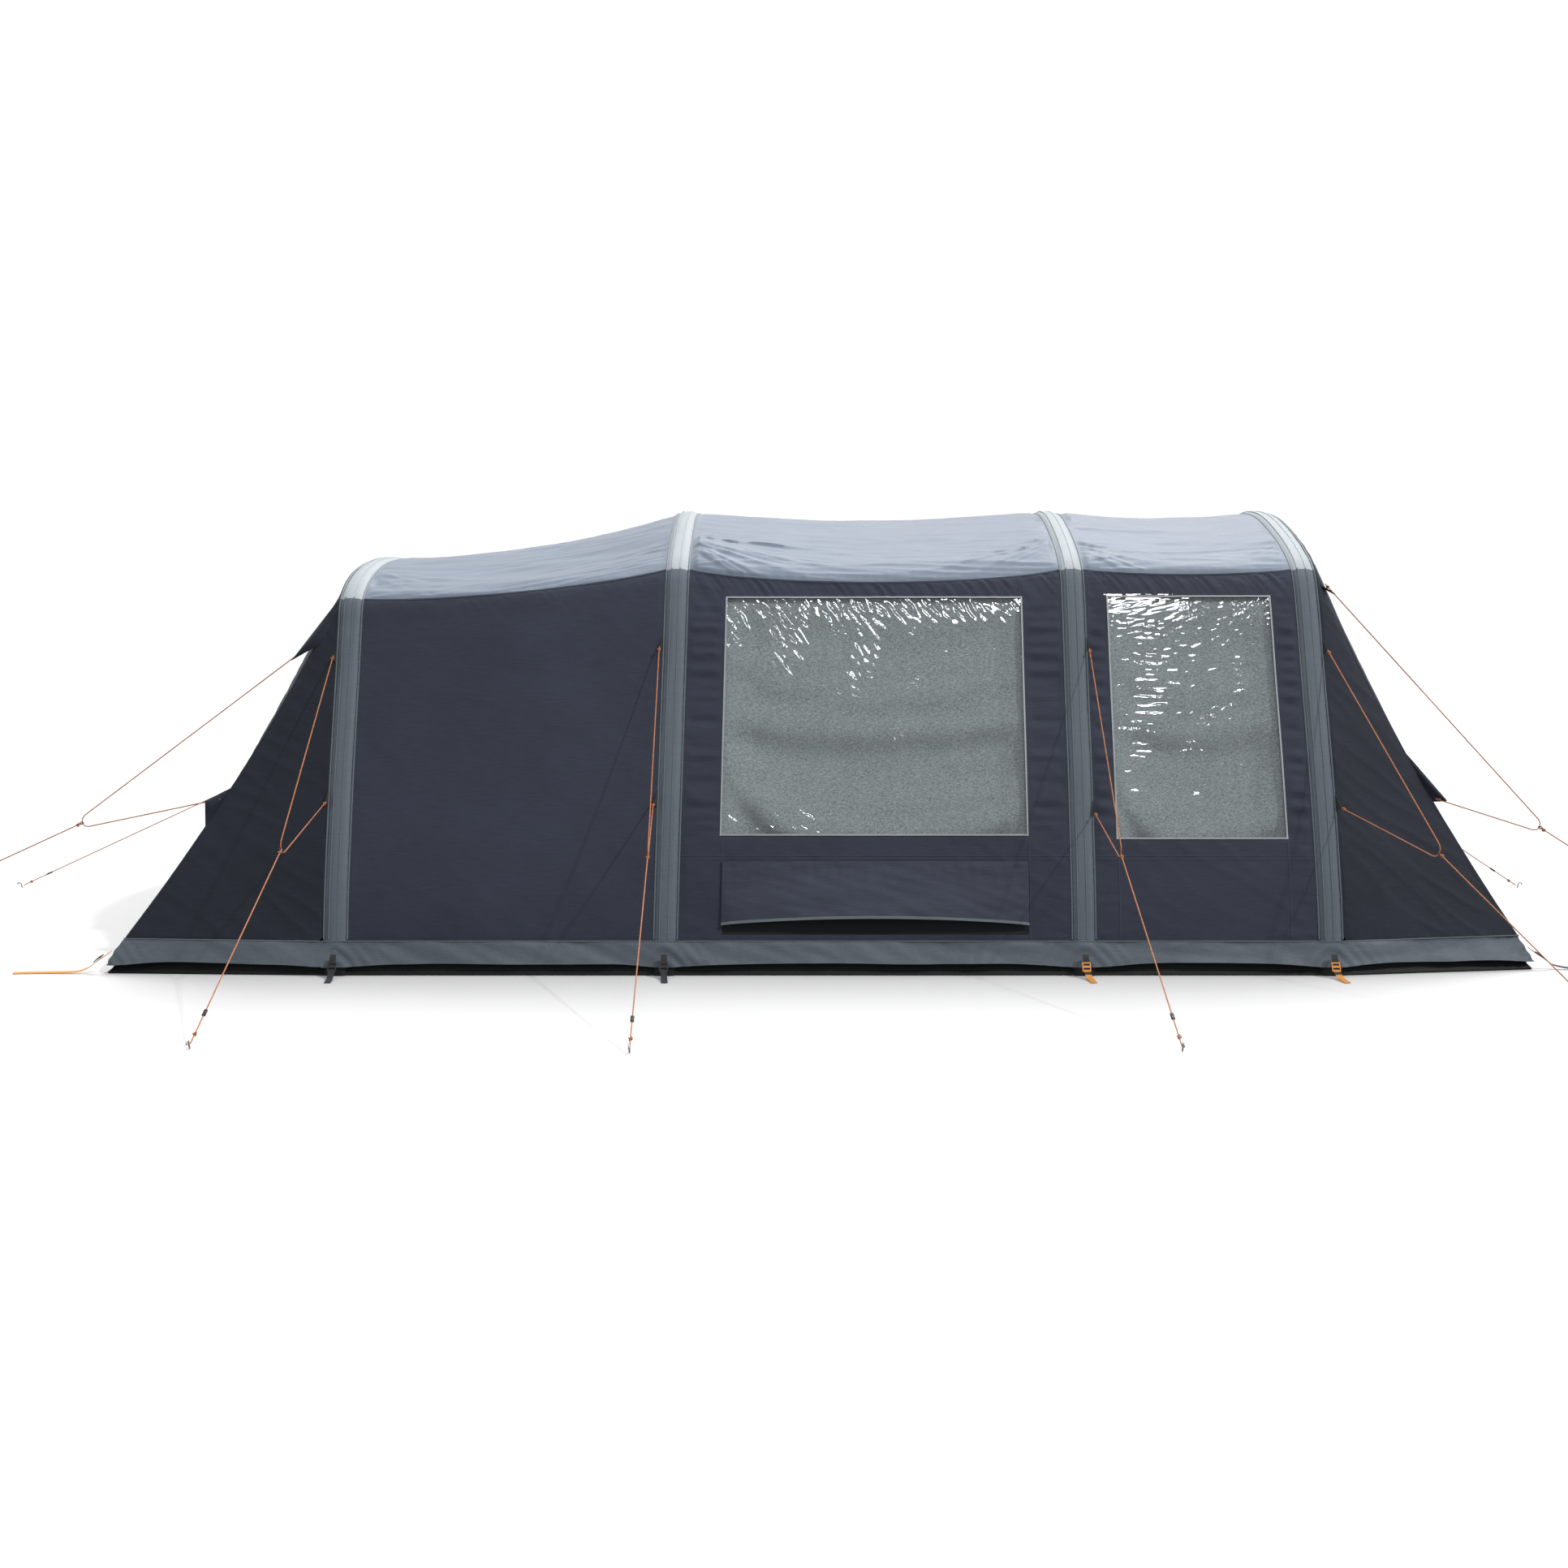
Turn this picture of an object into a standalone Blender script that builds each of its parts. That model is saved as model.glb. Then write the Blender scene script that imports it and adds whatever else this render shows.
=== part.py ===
"""Four-beam inflatable tunnel tent: air beams, sewn flysheet, doors, windows, bedroom and guy lines.

Frame: metres, +Z up, origin on the ground under the middle of the tent. +X points to the front
(the end with the main door), -Y is the near side (the side with the vent under its window).
"""
import math

import bmesh
import bpy
from mathutils import Vector

# ---------------------------------------------------------------- driving dimensions
# Outline of a beam, from the near foot to the crown: (half width, height) of its outer edge.
TALL_ARCH = [(1.62, 0.0), (1.54, 0.38), (1.39, 0.85), (1.225, 1.285), (1.105, 1.61),
             (1.01, 1.775), (0.83, 1.885), (0.55, 1.995), (0.28, 2.07), (0.0, 2.098)]
LOW_ARCH = [(1.62, 0.0), (1.54, 0.38), (1.39, 0.85), (1.225, 1.285), (1.15, 1.49),
            (1.08, 1.64), (0.87, 1.75), (0.58, 1.82), (0.29, 1.853), (0.0, 1.865)]
BEAM_ARCH = [LOW_ARCH, TALL_ARCH, TALL_ARCH, TALL_ARCH]
BEAM_X = [-2.115, -0.692, 1.122, 2.192]      # beam planes at the ground
BEAM_LEAN = [-0.012, 0.018, 0.008, 0.0]      # shift in X per metre of height
CROWN = 9.0                                  # arch parameter of the crown, feet are 0 and 18
SEAM = 5.0                                   # arch parameter of the seam between wall and roof
FAR_SEAM = 2 * CROWN - SEAM
FAR_FOOT = 2 * CROWN

BEAM_RADIUS = 0.048
SLEEVE_HALF_WIDTH = 0.054
SLEEVE_HALF_DEPTH = 0.050
SLEEVE_WALL = 0.0012
SLEEVE_SQUARENESS = 3.5
TUBE_SIDES = 10

CLOTH = 0.004                                # thickness of the cloth solids
CLOTH_DEPTH = 0.012                          # outer face of the cloth below the beam's outline
PANEL_EDGE = 0.056                           # from a beam's plane to the edge of a panel
ROOF_SAG = [0.05, 0.04, 0.03]
GAP = 0.003                                  # between a hole's edge and what fills it

CORNER_X = 3.1325                            # ground corners of both sloping ends
REAR_CORNER_Y = 1.564
FRONT_CORNER_Y = 1.46
END_HOLLOW = 0.05                            # how far the end seams curve inwards

SKIRT_TOP = 0.148
SKIRT_BOTTOM = 0.028
PANEL_BOTTOM = 0.152

WINDOW_NEAR_LARGE = (-0.444, 0.895, 0.60, 1.645)    # low x, high x, low z, high z
WINDOW_NEAR_SMALL = (1.285, 2.025, 0.585, 1.65)
WINDOW_FAR_LARGE = WINDOW_NEAR_LARGE
VENT = (-0.444, 0.885, 0.175, 0.47)
VENT_FLAP = (-0.446, 0.887, 0.225, 0.487)
SIDE_DOOR = (1.33, 2.04, 0.19, 1.52)

FRONT_DOOR_V = (7.0, 11.0)                   # arch parameters of the front door's edges
FRONT_DOOR_U = (0.14, 0.93)                  # its top and bottom down the sloping panel

BEDROOM_X = (-0.79, -2.06, -2.80)            # front wall, knee and foot end
BEDROOM_INSET = 0.13
BEDROOM_DOOR_HALF = 0.45
BEDROOM_DOOR_Z = (0.10, 1.60)
BEDROOM_FOOT_HEIGHT = 0.20                   # height and width of the foot end, as shares of the rest
BEDROOM_FOOT_WIDTH = 0.9

CURTAIN_HEM = 0.035                          # how far a curtain reaches past its window
CURTAIN_DEPTH = 0.034                        # from the beams' outline in to the curtain
FLAP_PROUD = 0.006                           # inner face of the vent flap above the wall's outline
FLAP_PROP = 0.028                            # how far the flap's lower edge is propped out
FLAP_HINGE_PROUD = 0.008
DOOR_HINGE_PROUD = 0.001                     # hinge line of the side door past its outermost bulge
ZIP_BESIDE_DOOR = 0.012                      # from a door's edge to the middle of its zip
ZIP_PULL_SIZE = (0.046, 0.012, 0.008)

CORD = 0.005
RING_BEND = 0.03                             # radius of a guy's two legs where they pass the ring
KNOT_RADIUS = 0.008
# Guy lines on the near side: upper tie, lower tie, ring, peg. The far side mirrors them.
GUYS = {
    "beam_1": ((-2.197, -1.192, 1.376), (-2.181, -1.445, 0.739), (-2.225, -2.14, 0.544), (-2.27, -3.124)),
    "beam_2": ((-0.735, -1.185, 1.416), (-0.748, -1.447, 0.732), (-0.733, -2.066, 0.509), (-0.715, -3.192)),
    "beam_3": ((1.194, -1.188, 1.409), (1.184, -1.46, 0.69), (1.20, -2.102, 0.533), (1.22, -3.165)),
    "beam_4": ((2.262, -1.19, 1.402), (2.262, -1.452, 0.714), (2.512, -2.137, 0.537), (2.80, -3.17)),
    "rear": ((-2.302, -1.139, 1.432), (-2.672, -1.342, 0.744), (-3.385, -1.317, 0.595), (-4.633, -1.364)),
    "front": ((2.290, -1.028, 1.703), (2.734, -1.270, 0.740), (3.266, -1.282, 0.57), (4.115, -1.364)),
}
PEG_HEIGHT = 0.022                           # height of the peg's hook, where the cord ends
RUNNER_SIZE = (0.034, 0.014, 0.009)
RUNNER_BORE = 0.0034
RUNNER_FROM_PEG = 0.17

# ---------------------------------------------------------------- colours
NAVY = (0.040, 0.046, 0.064)
DARK_NAVY = (0.020, 0.024, 0.034)
SLATE = (0.33, 0.38, 0.47)
GREY = (0.13, 0.16, 0.18)
ORANGE = (0.74, 0.20, 0.05)
BLACK = (0.015, 0.015, 0.017)
CLEAR = (0.75, 0.78, 0.80)
CURTAIN = (0.16, 0.18, 0.19)
BEDROOM = (0.50, 0.52, 0.55)


def clear_scene():
    for obj in list(bpy.data.objects):
        bpy.data.objects.remove(obj, do_unlink=True)


def principled(name, colour, roughness=0.7, metallic=0.0, alpha=1.0):
    material = bpy.data.materials.new(name)
    material.use_nodes = True
    shader = material.node_tree.nodes["Principled BSDF"]
    shader.inputs["Base Color"].default_value = (*colour, 1.0)
    shader.inputs["Roughness"].default_value = roughness
    shader.inputs["Metallic"].default_value = metallic
    shader.inputs["Alpha"].default_value = alpha
    return material


def add_mesh(name, bm, material, origin=(0.0, 0.0, 0.0), smooth=False):
    """Turn a bmesh in world coordinates into an object whose origin is at `origin`."""
    bmesh.ops.translate(bm, verts=bm.verts, vec=-Vector(origin))
    bmesh.ops.recalc_face_normals(bm, faces=bm.faces)
    if bm.calc_volume(signed=True) < 0:
        bmesh.ops.reverse_faces(bm, faces=bm.faces)
    mesh = bpy.data.meshes.new(name)
    bm.to_mesh(mesh)
    bm.free()
    mesh.materials.append(material)
    if smooth:
        mesh.shade_smooth()
        mesh.set_sharp_from_angle(angle=math.radians(50))
    obj = bpy.data.objects.new(name, mesh)
    obj.location = origin
    bpy.context.scene.collection.objects.link(obj)
    return obj


def boolean(obj, other, operation):
    """Apply an exact Boolean to obj and remove the other object."""
    modifier = obj.modifiers.new(operation.lower(), "BOOLEAN")
    modifier.operation = operation
    modifier.solver = "EXACT"
    modifier.object = other
    bpy.context.view_layer.update()
    evaluated = obj.evaluated_get(bpy.context.evaluated_depsgraph_get())
    mesh = bpy.data.meshes.new_from_object(evaluated)
    obj.modifiers.clear()
    obj.data = mesh
    bpy.data.objects.remove(other, do_unlink=True)


# ---------------------------------------------------------------- surfaces
def mix(a, b, t):
    return a + (b - a) * t


def smoothstep(t):
    t = min(max(t, 0.0), 1.0)
    return t * t * (3 - 2 * t)


def arch_point(points, v):
    """Point (y, z) of an arch at parameter v, from 0 at the near foot to 18 at the far foot."""
    side = -1 if v <= CROWN else 1
    t = v if v <= CROWN else FAR_FOOT - v
    last = len(points) - 1
    i = min(int(t), last - 1)
    f = t - i

    def control(j):
        if j < 0:
            return (2 * points[0][0] - points[1][0], 2 * points[0][1] - points[1][1])
        if j > last:
            return (-points[2 * last - j][0], points[2 * last - j][1])
        return points[j]

    p0, p1, p2, p3 = (control(i + k) for k in (-1, 0, 1, 2))
    y, z = (0.5 * (2 * b + (c - a) * f + (2 * a - 5 * b + 4 * c - d) * f ** 2
                   + (3 * b - a - 3 * c + d) * f ** 3)
            for a, b, c, d in zip(p0, p1, p2, p3))
    return side * y, max(z, 0.0)


def beam_x(k, z):
    return BEAM_X[k] + BEAM_LEAN[k] * z


def beam_point(k, v, dx=0.0):
    y, z = arch_point(BEAM_ARCH[k], v)
    return Vector((beam_x(k, z) + dx, y, z))


def beam_outward(k, v):
    """Tangent of a beam's outline at v, and the direction that points out of the tent."""
    step = 0.02
    before = beam_point(k, max(v - step, 0.0))
    after = beam_point(k, min(v + step, FAR_FOOT))
    tangent = (after - before).normalized()
    return tangent, Vector((1, 0, 0)).cross(tangent).normalized()


def bay_surface(k):
    """Cloth between beams k and k + 1: u along the bay, v over the arch."""
    def surface(u, v):
        p = mix(beam_point(k, v, PANEL_EDGE), beam_point(k + 1, v, -PANEL_EDGE), u)
        over = v if v <= CROWN else FAR_FOOT - v
        sag = ROOF_SAG[k] * 4 * u * (1 - u) * smoothstep((over - 4.2) / 2.0)
        return p + Vector((0, -p.y * 0.35, -1)).normalized() * sag
    return surface


def end_ground(front, v):
    """Point on the ground that the end panel's fall line v runs to."""
    beam, corner_y = (3, FRONT_CORNER_Y) if front else (0, REAR_CORNER_Y)
    sign = 1 if front else -1
    corner_x = sign * CORNER_X
    foot = beam_point(beam, 0.0, sign * PANEL_EDGE)
    over = v if v <= CROWN else FAR_FOOT - v
    side = -1 if v <= CROWN else 1
    if over < SEAM:
        t = over / SEAM
        return Vector((mix(foot.x, corner_x, t), side * mix(1.62, corner_y, t), 0.0))
    y = arch_point(BEAM_ARCH[beam], v)[0]
    shoulder = -arch_point(BEAM_ARCH[beam], SEAM)[0]
    return Vector((corner_x, y * corner_y / shoulder, 0.0))


def end_line(front, v, height):
    """Straight fall line v of an end: its top on the beam, and its point at a height above the ground."""
    beam = 3 if front else 0
    edge = PANEL_EDGE + CLOTH
    top = beam_point(beam, v, edge if front else -edge) - beam_outward(beam, v)[1] * CLOTH_DEPTH
    ground = end_ground(front, v)
    return top, mix(top, ground, (top.z - height) / top.z)


def end_surface(front):
    """Sloping end: u from the beam down to the skirt, v over the arch."""
    def surface(u, v):
        top, bottom = end_line(front, v, PANEL_BOTTOM)
        over = v if v <= CROWN else FAR_FOOT - v
        weight = smoothstep((over - 1.8) / 3.2) * (1 - smoothstep((over - SEAM) / 1.8))
        inward = Vector((-1 if front else 1, 0.25 if v < CROWN else -0.25, 0)).normalized()
        return mix(top, bottom, u) + inward * (END_HOLLOW * 4 * u * (1 - u) * weight)
    return surface


def height_to_v(z, far=False):
    """Arch parameter of a height on the straight leg of a tall arch."""
    low, high = 0.0, SEAM
    for _ in range(40):
        middle = (low + high) / 2
        if arch_point(TALL_ARCH, middle)[1] < z:
            low = middle
        else:
            high = middle
    return FAR_FOOT - low if far else low


def x_to_u(k, x, z):
    a = beam_x(k, z) + PANEL_EDGE
    b = beam_x(k + 1, z) - PANEL_EDGE
    return (x - a) / (b - a)


def patch(k, box, far=False):
    """Range of u and v that a box (low x, high x, low z, high z) covers on the wall of bay k."""
    x0, x1, z0, z1 = box
    middle = (z0 + z1) / 2
    us = (x_to_u(k, x0, middle), x_to_u(k, x1, middle))
    vs = sorted((height_to_v(z0, far), height_to_v(z1, far)))
    return us, tuple(vs)


def stations(start, end, count, extra=()):
    """Evenly spaced values, with the extra values taking the place of the ones close to them."""
    step = (end - start) / count
    values = [start + step * i for i in range(count + 1)]
    keep = [x for x in values if x in (start, end) or all(abs(x - e) > 0.45 * step for e in extra)]
    return sorted(keep + list(extra))


def surface_normal(surface, u, v, us, vs):
    du = (us[-1] - us[0]) * 1e-3
    dv = (vs[-1] - vs[0]) * 1e-3
    along = surface(u + du, v) - surface(u - du, v)
    across = surface(u, v + dv) - surface(u, v - dv)
    return along.cross(across).normalized()


def slab(name, surface, us, vs, material, depth=CLOTH_DEPTH, thickness=CLOTH, flip=False, holes=(),
         origin=(0.0, 0.0, 0.0)):
    """Sheet of even thickness under a surface, with rectangular holes given as (u range, v range)."""
    def is_open(i, j):
        u = (us[i] + us[i + 1]) / 2
        v = (vs[j] + vs[j + 1]) / 2
        return any(a[0] < u < a[1] and b[0] < v < b[1] for a, b in holes)

    cells = {(i, j) for i in range(len(us) - 1) for j in range(len(vs) - 1) if not is_open(i, j)}
    bm = bmesh.new()
    layers = {}

    def vertex(i, j, layer):
        if (i, j, layer) not in layers:
            normal = surface_normal(surface, us[i], vs[j], us, vs) * (-1 if flip else 1)
            point = surface(us[i], vs[j]) - normal * (depth + thickness * layer)
            layers[i, j, layer] = bm.verts.new(point)
        return layers[i, j, layer]

    for i, j in sorted(cells):
        ring = [(i, j), (i + 1, j), (i + 1, j + 1), (i, j + 1)]
        for a, b, c in ((0, 1, 2), (0, 2, 3)):        # one diagonal for both layers, as the cells can twist
            bm.faces.new([vertex(*ring[n], 0) for n in (a, b, c)])
            bm.faces.new([vertex(*ring[n], 1) for n in (c, b, a)])
        for side, (di, dj) in enumerate(((0, -1), (1, 0), (0, 1), (-1, 0))):
            if (i + di, j + dj) not in cells:
                a, b = ring[side], ring[(side + 1) % 4]
                bm.faces.new([vertex(*a, 1), vertex(*b, 1), vertex(*b, 0), vertex(*a, 0)])
    return add_mesh(name, bm, material, origin, smooth=True)


# ---------------------------------------------------------------- solids
def bridge(bm, first, second):
    """Close the band between two loops. Two bands given in the same order are split along like diagonals."""
    count = len(first)
    for i in range(count):
        j = (i + 1) % count
        bm.faces.new([first[i], first[j], second[j]])
        bm.faces.new([first[i], second[j], second[i]])


def box_mesh(centre, size, axes=None):
    """Box with its size along three axes, world axes unless given."""
    axes = axes or (Vector((1, 0, 0)), Vector((0, 1, 0)), Vector((0, 0, 1)))
    bm = bmesh.new()
    bmesh.ops.create_cube(bm, size=1.0)
    for vert in bm.verts:
        co = vert.co.copy()
        vert.co = Vector(centre) + sum((axes[i] * co[i] * size[i] for i in range(3)), Vector())
    bm.normal_update()
    return bm


def beam_ring(k, v, half_width, half_depth, squareness):
    """Closed section of a beam or sleeve, centred half a sleeve below the beam's outline."""
    tangent, outward = beam_outward(k, v)
    centre = beam_point(k, v) - outward * SLEEVE_HALF_DEPTH
    ring = []
    for i in range(TUBE_SIDES):
        angle = 2 * math.pi * (i + 0.5) / TUBE_SIDES
        c, s = math.cos(angle), math.sin(angle)
        radius = (abs(c) ** squareness + abs(s) ** squareness) ** (-1 / squareness)
        ring.append(centre + Vector((half_width * radius * c, 0, 0)) + outward * (half_depth * radius * s))
    if v in (0.0, FAR_FOOT):
        # cut flat on the ground
        ring = [p - tangent * (p.z / tangent.z) for p in ring]
    return ring


def air_beam(k):
    bm = bmesh.new()
    rings = [[bm.verts.new(p) for p in beam_ring(k, float(v), BEAM_RADIUS, BEAM_RADIUS, 2.0)]
             for v in range(int(FAR_FOOT) + 1)]
    for first, second in zip(rings, rings[1:]):
        bridge(bm, first, second)
    bm.faces.new(rings[0])
    bm.faces.new(rings[-1])
    return add_mesh(f"air_beam_{k + 1}", bm, principled("air_beam", (0.30, 0.30, 0.32), 0.45), smooth=True)


def beam_sleeve(k):
    bm = bmesh.new()
    layers = []
    for wall in (0.0, SLEEVE_WALL):
        half_width, half_depth = SLEEVE_HALF_WIDTH - wall, SLEEVE_HALF_DEPTH - wall * 0.8
        layers.append([[bm.verts.new(p) for p in beam_ring(k, float(v), half_width, half_depth,
                                                           SLEEVE_SQUARENESS)]
                       for v in range(int(FAR_FOOT) + 1)])
    for rings in layers:
        for first, second in zip(rings, rings[1:]):
            bridge(bm, first, second)
    bridge(bm, layers[0][0], layers[1][0])
    bridge(bm, layers[0][-1], layers[1][-1])
    return add_mesh(f"beam_sleeve_{k + 1}", bm, principled("sleeve", GREY, 0.75), smooth=True)


def outline(height):
    """Plan of the tent at a height, as its eight corners from the near rear foot, anticlockwise."""
    y = -arch_point(TALL_ARCH, height_to_v(height))[0]
    rear_foot = beam_x(0, height) - PANEL_EDGE
    front_foot = beam_x(3, height) + PANEL_EDGE
    front = end_line(True, SEAM, height)[1]
    rear = end_line(False, SEAM, height)[1]
    half = [(rear_foot, -y), (front_foot, -y), (front.x, front.y)]
    return half + [(front.x, -front.y), (front_foot, y), (rear_foot, y), (rear.x, -rear.y), (rear.x, rear.y)]


def offset_polygon(points, distance):
    """Move every side of an anticlockwise polygon outwards by a distance."""
    count = len(points)
    result = []
    for i in range(count):
        before, here, after = (Vector(points[j % count]) for j in (i - 1, i, i + 1))
        a, b = (here - before).normalized(), (after - here).normalized()
        normal_a, normal_b = Vector((a.y, -a.x)), Vector((b.y, -b.x))
        bisector = (normal_a + normal_b).normalized()
        result.append(here + bisector * (distance / bisector.dot(normal_a)))
    return result


def loop(bm, points, z):
    return [bm.verts.new((p[0], p[1], z)) for p in points]


def mud_skirt():
    bm = bmesh.new()
    clearance, thickness = 0.0015, 0.003
    inner_low = loop(bm, offset_polygon(outline(0.0), clearance), SKIRT_BOTTOM)
    inner_high = loop(bm, offset_polygon(outline(SKIRT_TOP), clearance), SKIRT_TOP)
    outer_high = loop(bm, offset_polygon(outline(SKIRT_TOP), clearance + thickness), SKIRT_TOP)
    outer_low = loop(bm, offset_polygon(outline(0.0), clearance + thickness), SKIRT_BOTTOM)
    for first, second in ((inner_low, inner_high), (inner_high, outer_high),
                          (outer_low, outer_high), (outer_low, inner_low)):
        bridge(bm, first, second)
    return add_mesh("mud_skirt", bm, principled("skirt", GREY, 0.8))


def groundsheet():
    """Sewn-in floor: a shallow tray inside the feet of the beams."""
    bm = bmesh.new()
    rim, thickness, inset = 0.085, 0.004, -0.118
    base = outline(0.001)
    top = outline(rim)
    outer_low = loop(bm, offset_polygon(base, inset), 0.0)
    outer_high = loop(bm, offset_polygon(top, inset), rim)
    inner_high = loop(bm, offset_polygon(top, inset - thickness), rim)
    inner_low = loop(bm, offset_polygon(base, inset - thickness), thickness)
    bridge(bm, outer_low, outer_high)
    bridge(bm, outer_high, inner_high)
    bridge(bm, inner_low, inner_high)
    bm.faces.new(outer_low)
    bm.faces.new(inner_low)
    return add_mesh("groundsheet", bm, principled("groundsheet", BLACK, 0.6))


# ---------------------------------------------------------------- flysheet
def wall_panel(name, k, far, boxes=()):
    vs_range = (FAR_SEAM + 0.02, FAR_FOOT - height_to_v(PANEL_BOTTOM)) if far else (
        height_to_v(PANEL_BOTTOM), SEAM - 0.02)
    holes = [patch(k, box, far) for box in boxes]
    extra_u = sorted({u for span, _ in holes for u in span})
    extra_v = sorted({v for _, span in holes for v in span})
    us = stations(0.0, 1.0, 4, tuple(extra_u))
    vs = stations(*vs_range, 5, tuple(extra_v))
    return slab(name, bay_surface(k), us, vs, principled("wall", NAVY, 0.75), holes=holes)


def roof_panel(name, k):
    us = stations(0.0, 1.0, 5)
    vs = stations(SEAM, FAR_SEAM, 9)
    return slab(name, bay_surface(k), us, vs, principled("roof", SLATE, 0.6))


def end_panel(name, front, holes=()):
    extra_u = [u for span, _ in holes for u in span]
    us = stations(0.0, 1.0, 5, tuple(extra_u))
    vs = [0.6, 1.8, 3.0, 4.0, SEAM, 6.0, 7.0, 8.0, CROWN]
    vs += [FAR_FOOT - v for v in reversed(vs[:-1])]
    return slab(name, end_surface(front), us, vs, principled("end", DARK_NAVY, 0.75), depth=0.0,
                flip=not front, holes=holes)


def filler(name, k, box, far, material, depth=CLOTH_DEPTH, thickness=0.002, margin=0.0, origin=(0, 0, 0)):
    """Piece that follows the wall of bay k inside a box, smaller (or larger) by a margin."""
    x0, x1, z0, z1 = box
    us, vs = patch(k, (x0 + margin, x1 - margin, z0 + margin, z1 - margin), far)
    return slab(name, bay_surface(k), stations(*us, 3), stations(*vs, 4), material, depth, thickness,
                origin=origin)


def window_and_curtain(place, k, box, far):
    clear = principled("window", CLEAR, 0.05, alpha=0.3)
    filler(f"window_{place}", k, box, far, clear, margin=GAP)
    x0, x1, z0, z1 = box
    hinge_z = z1 + CURTAIN_HEM
    surface = bay_surface(k)
    v = height_to_v(hinge_z, far)
    normal = surface_normal(surface, 0.5, v, (0, 1), (0, FAR_FOOT))
    pivot = surface(0.5, v) - normal * CURTAIN_DEPTH
    filler(f"curtain_{place}", k, (x0 - CURTAIN_HEM, x1 + CURTAIN_HEM, z0 - CURTAIN_HEM, hinge_z), far,
           principled("curtain", CURTAIN, 0.9), depth=CURTAIN_DEPTH, thickness=0.003, origin=pivot)


def vent():
    mesh_material = principled("mesh", BLACK, 0.9)
    filler("vent_mesh", 1, VENT, False, mesh_material, depth=CLOTH_DEPTH + 0.001, margin=GAP)
    surface = bay_surface(1)
    us, vs = patch(1, VENT_FLAP)

    def propped(u, v):
        out = smoothstep(0.5 + 0.5 * (vs[1] - v) / (vs[1] - vs[0])) * 2 - 1
        return surface(u, v) + Vector((0, -FLAP_PROP * out, 0))

    pivot = surface(0.5, vs[1]) + Vector((0, -FLAP_HINGE_PROUD, 0))
    return slab("vent_flap", propped, stations(*us, 6), stations(*vs, 4), principled("flap", NAVY, 0.75),
                depth=-FLAP_PROUD, thickness=0.003, origin=pivot)


# ---------------------------------------------------------------- doors
def front_door():
    """Door in the sloping front, hinged on its far edge."""
    surface = end_surface(True)
    us = (FRONT_DOOR_U[0] + 0.003, FRONT_DOOR_U[1] - 0.003)
    vs = (FRONT_DOOR_V[0] + 0.015, 8.0, CROWN, 10.0, FRONT_DOOR_V[1] - 0.015)
    pivot = surface(FRONT_DOOR_U[1], FRONT_DOOR_V[1])
    slab("front_door", surface, stations(*us, 4), vs, principled("door", DARK_NAVY, 0.75), depth=0.0,
         origin=pivot)
    low = surface(FRONT_DOOR_U[1] - 0.02, FRONT_DOOR_V[0] - 0.05)
    high = surface(FRONT_DOOR_U[0], FRONT_DOOR_V[0] - 0.05)
    zip_pull("front_door_zip_pull", low, high, Vector((1, 0, 0.5)), 0.0)


def side_door_hinge():
    """Point and direction of the side door's hinge: along its front edge, past its outermost bulge."""
    surface = bay_surface(2)
    x1, z0, z1 = SIDE_DOOR[1:]
    u = x_to_u(2, x1, 1.0)
    v0, v1 = height_to_v(z0, True), height_to_v(z1, True)
    low, high = surface(u, v0), surface(u, v1)
    axis = (low - high).normalized()
    facing = Vector((0, 1, 0.3))
    out = (facing - axis * facing.dot(axis)).normalized()
    steps = 60
    bulge = max((surface(u, mix(v0, v1, i / steps)) - low).dot(out) for i in range(steps + 1))
    return low + out * (bulge + DOOR_HINGE_PROUD), axis


def side_door_zip():
    """Low and high end of the run of the side door's zip pull, on the wall beside the door."""
    surface = bay_surface(2)
    u = x_to_u(2, SIDE_DOOR[0] - ZIP_BESIDE_DOOR, 1.0)
    return surface(u, height_to_v(0.22, True)), surface(u, height_to_v(0.70, True))


def side_door():
    """Door in the far wall of the front bay, hinged on its front edge."""
    x0, x1, z0, z1 = SIDE_DOOR
    us, vs = patch(2, (x0 + GAP, x1 - GAP, z0 + GAP, z1 - GAP), True)
    slab("side_door", bay_surface(2), stations(*us, 3), stations(*vs, 6), principled("door", NAVY, 0.75),
         origin=side_door_hinge()[0])
    wall_bulge = 0.005                       # of the wall between the two ends of the run
    zip_pull("side_door_zip_pull", *side_door_zip(), Vector((0, 1, 0.3)), wall_bulge - CLOTH_DEPTH)


def zip_pull(name, low, high, facing, sink):
    """Slider with a tapered puller, a little proud of the cloth at the low end of its run."""
    along = (high - low).normalized()
    side = facing.cross(along).normalized()
    out = along.cross(side).normalized()
    proud = 0.006
    centre = low + out * (sink + proud)
    bm = box_mesh(centre, ZIP_PULL_SIZE, (along, side, out))
    for vert in bm.verts:
        if (vert.co - centre).dot(along) < 0:
            vert.co -= side * (vert.co - centre).dot(side) * 0.45
    bm.normal_update()
    bmesh.ops.bevel(bm, geom=bm.edges[:], offset=0.0015, segments=1, affect="EDGES")
    return add_mesh(name, bm, principled("zip", BLACK, 0.4), origin=centre)


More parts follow.
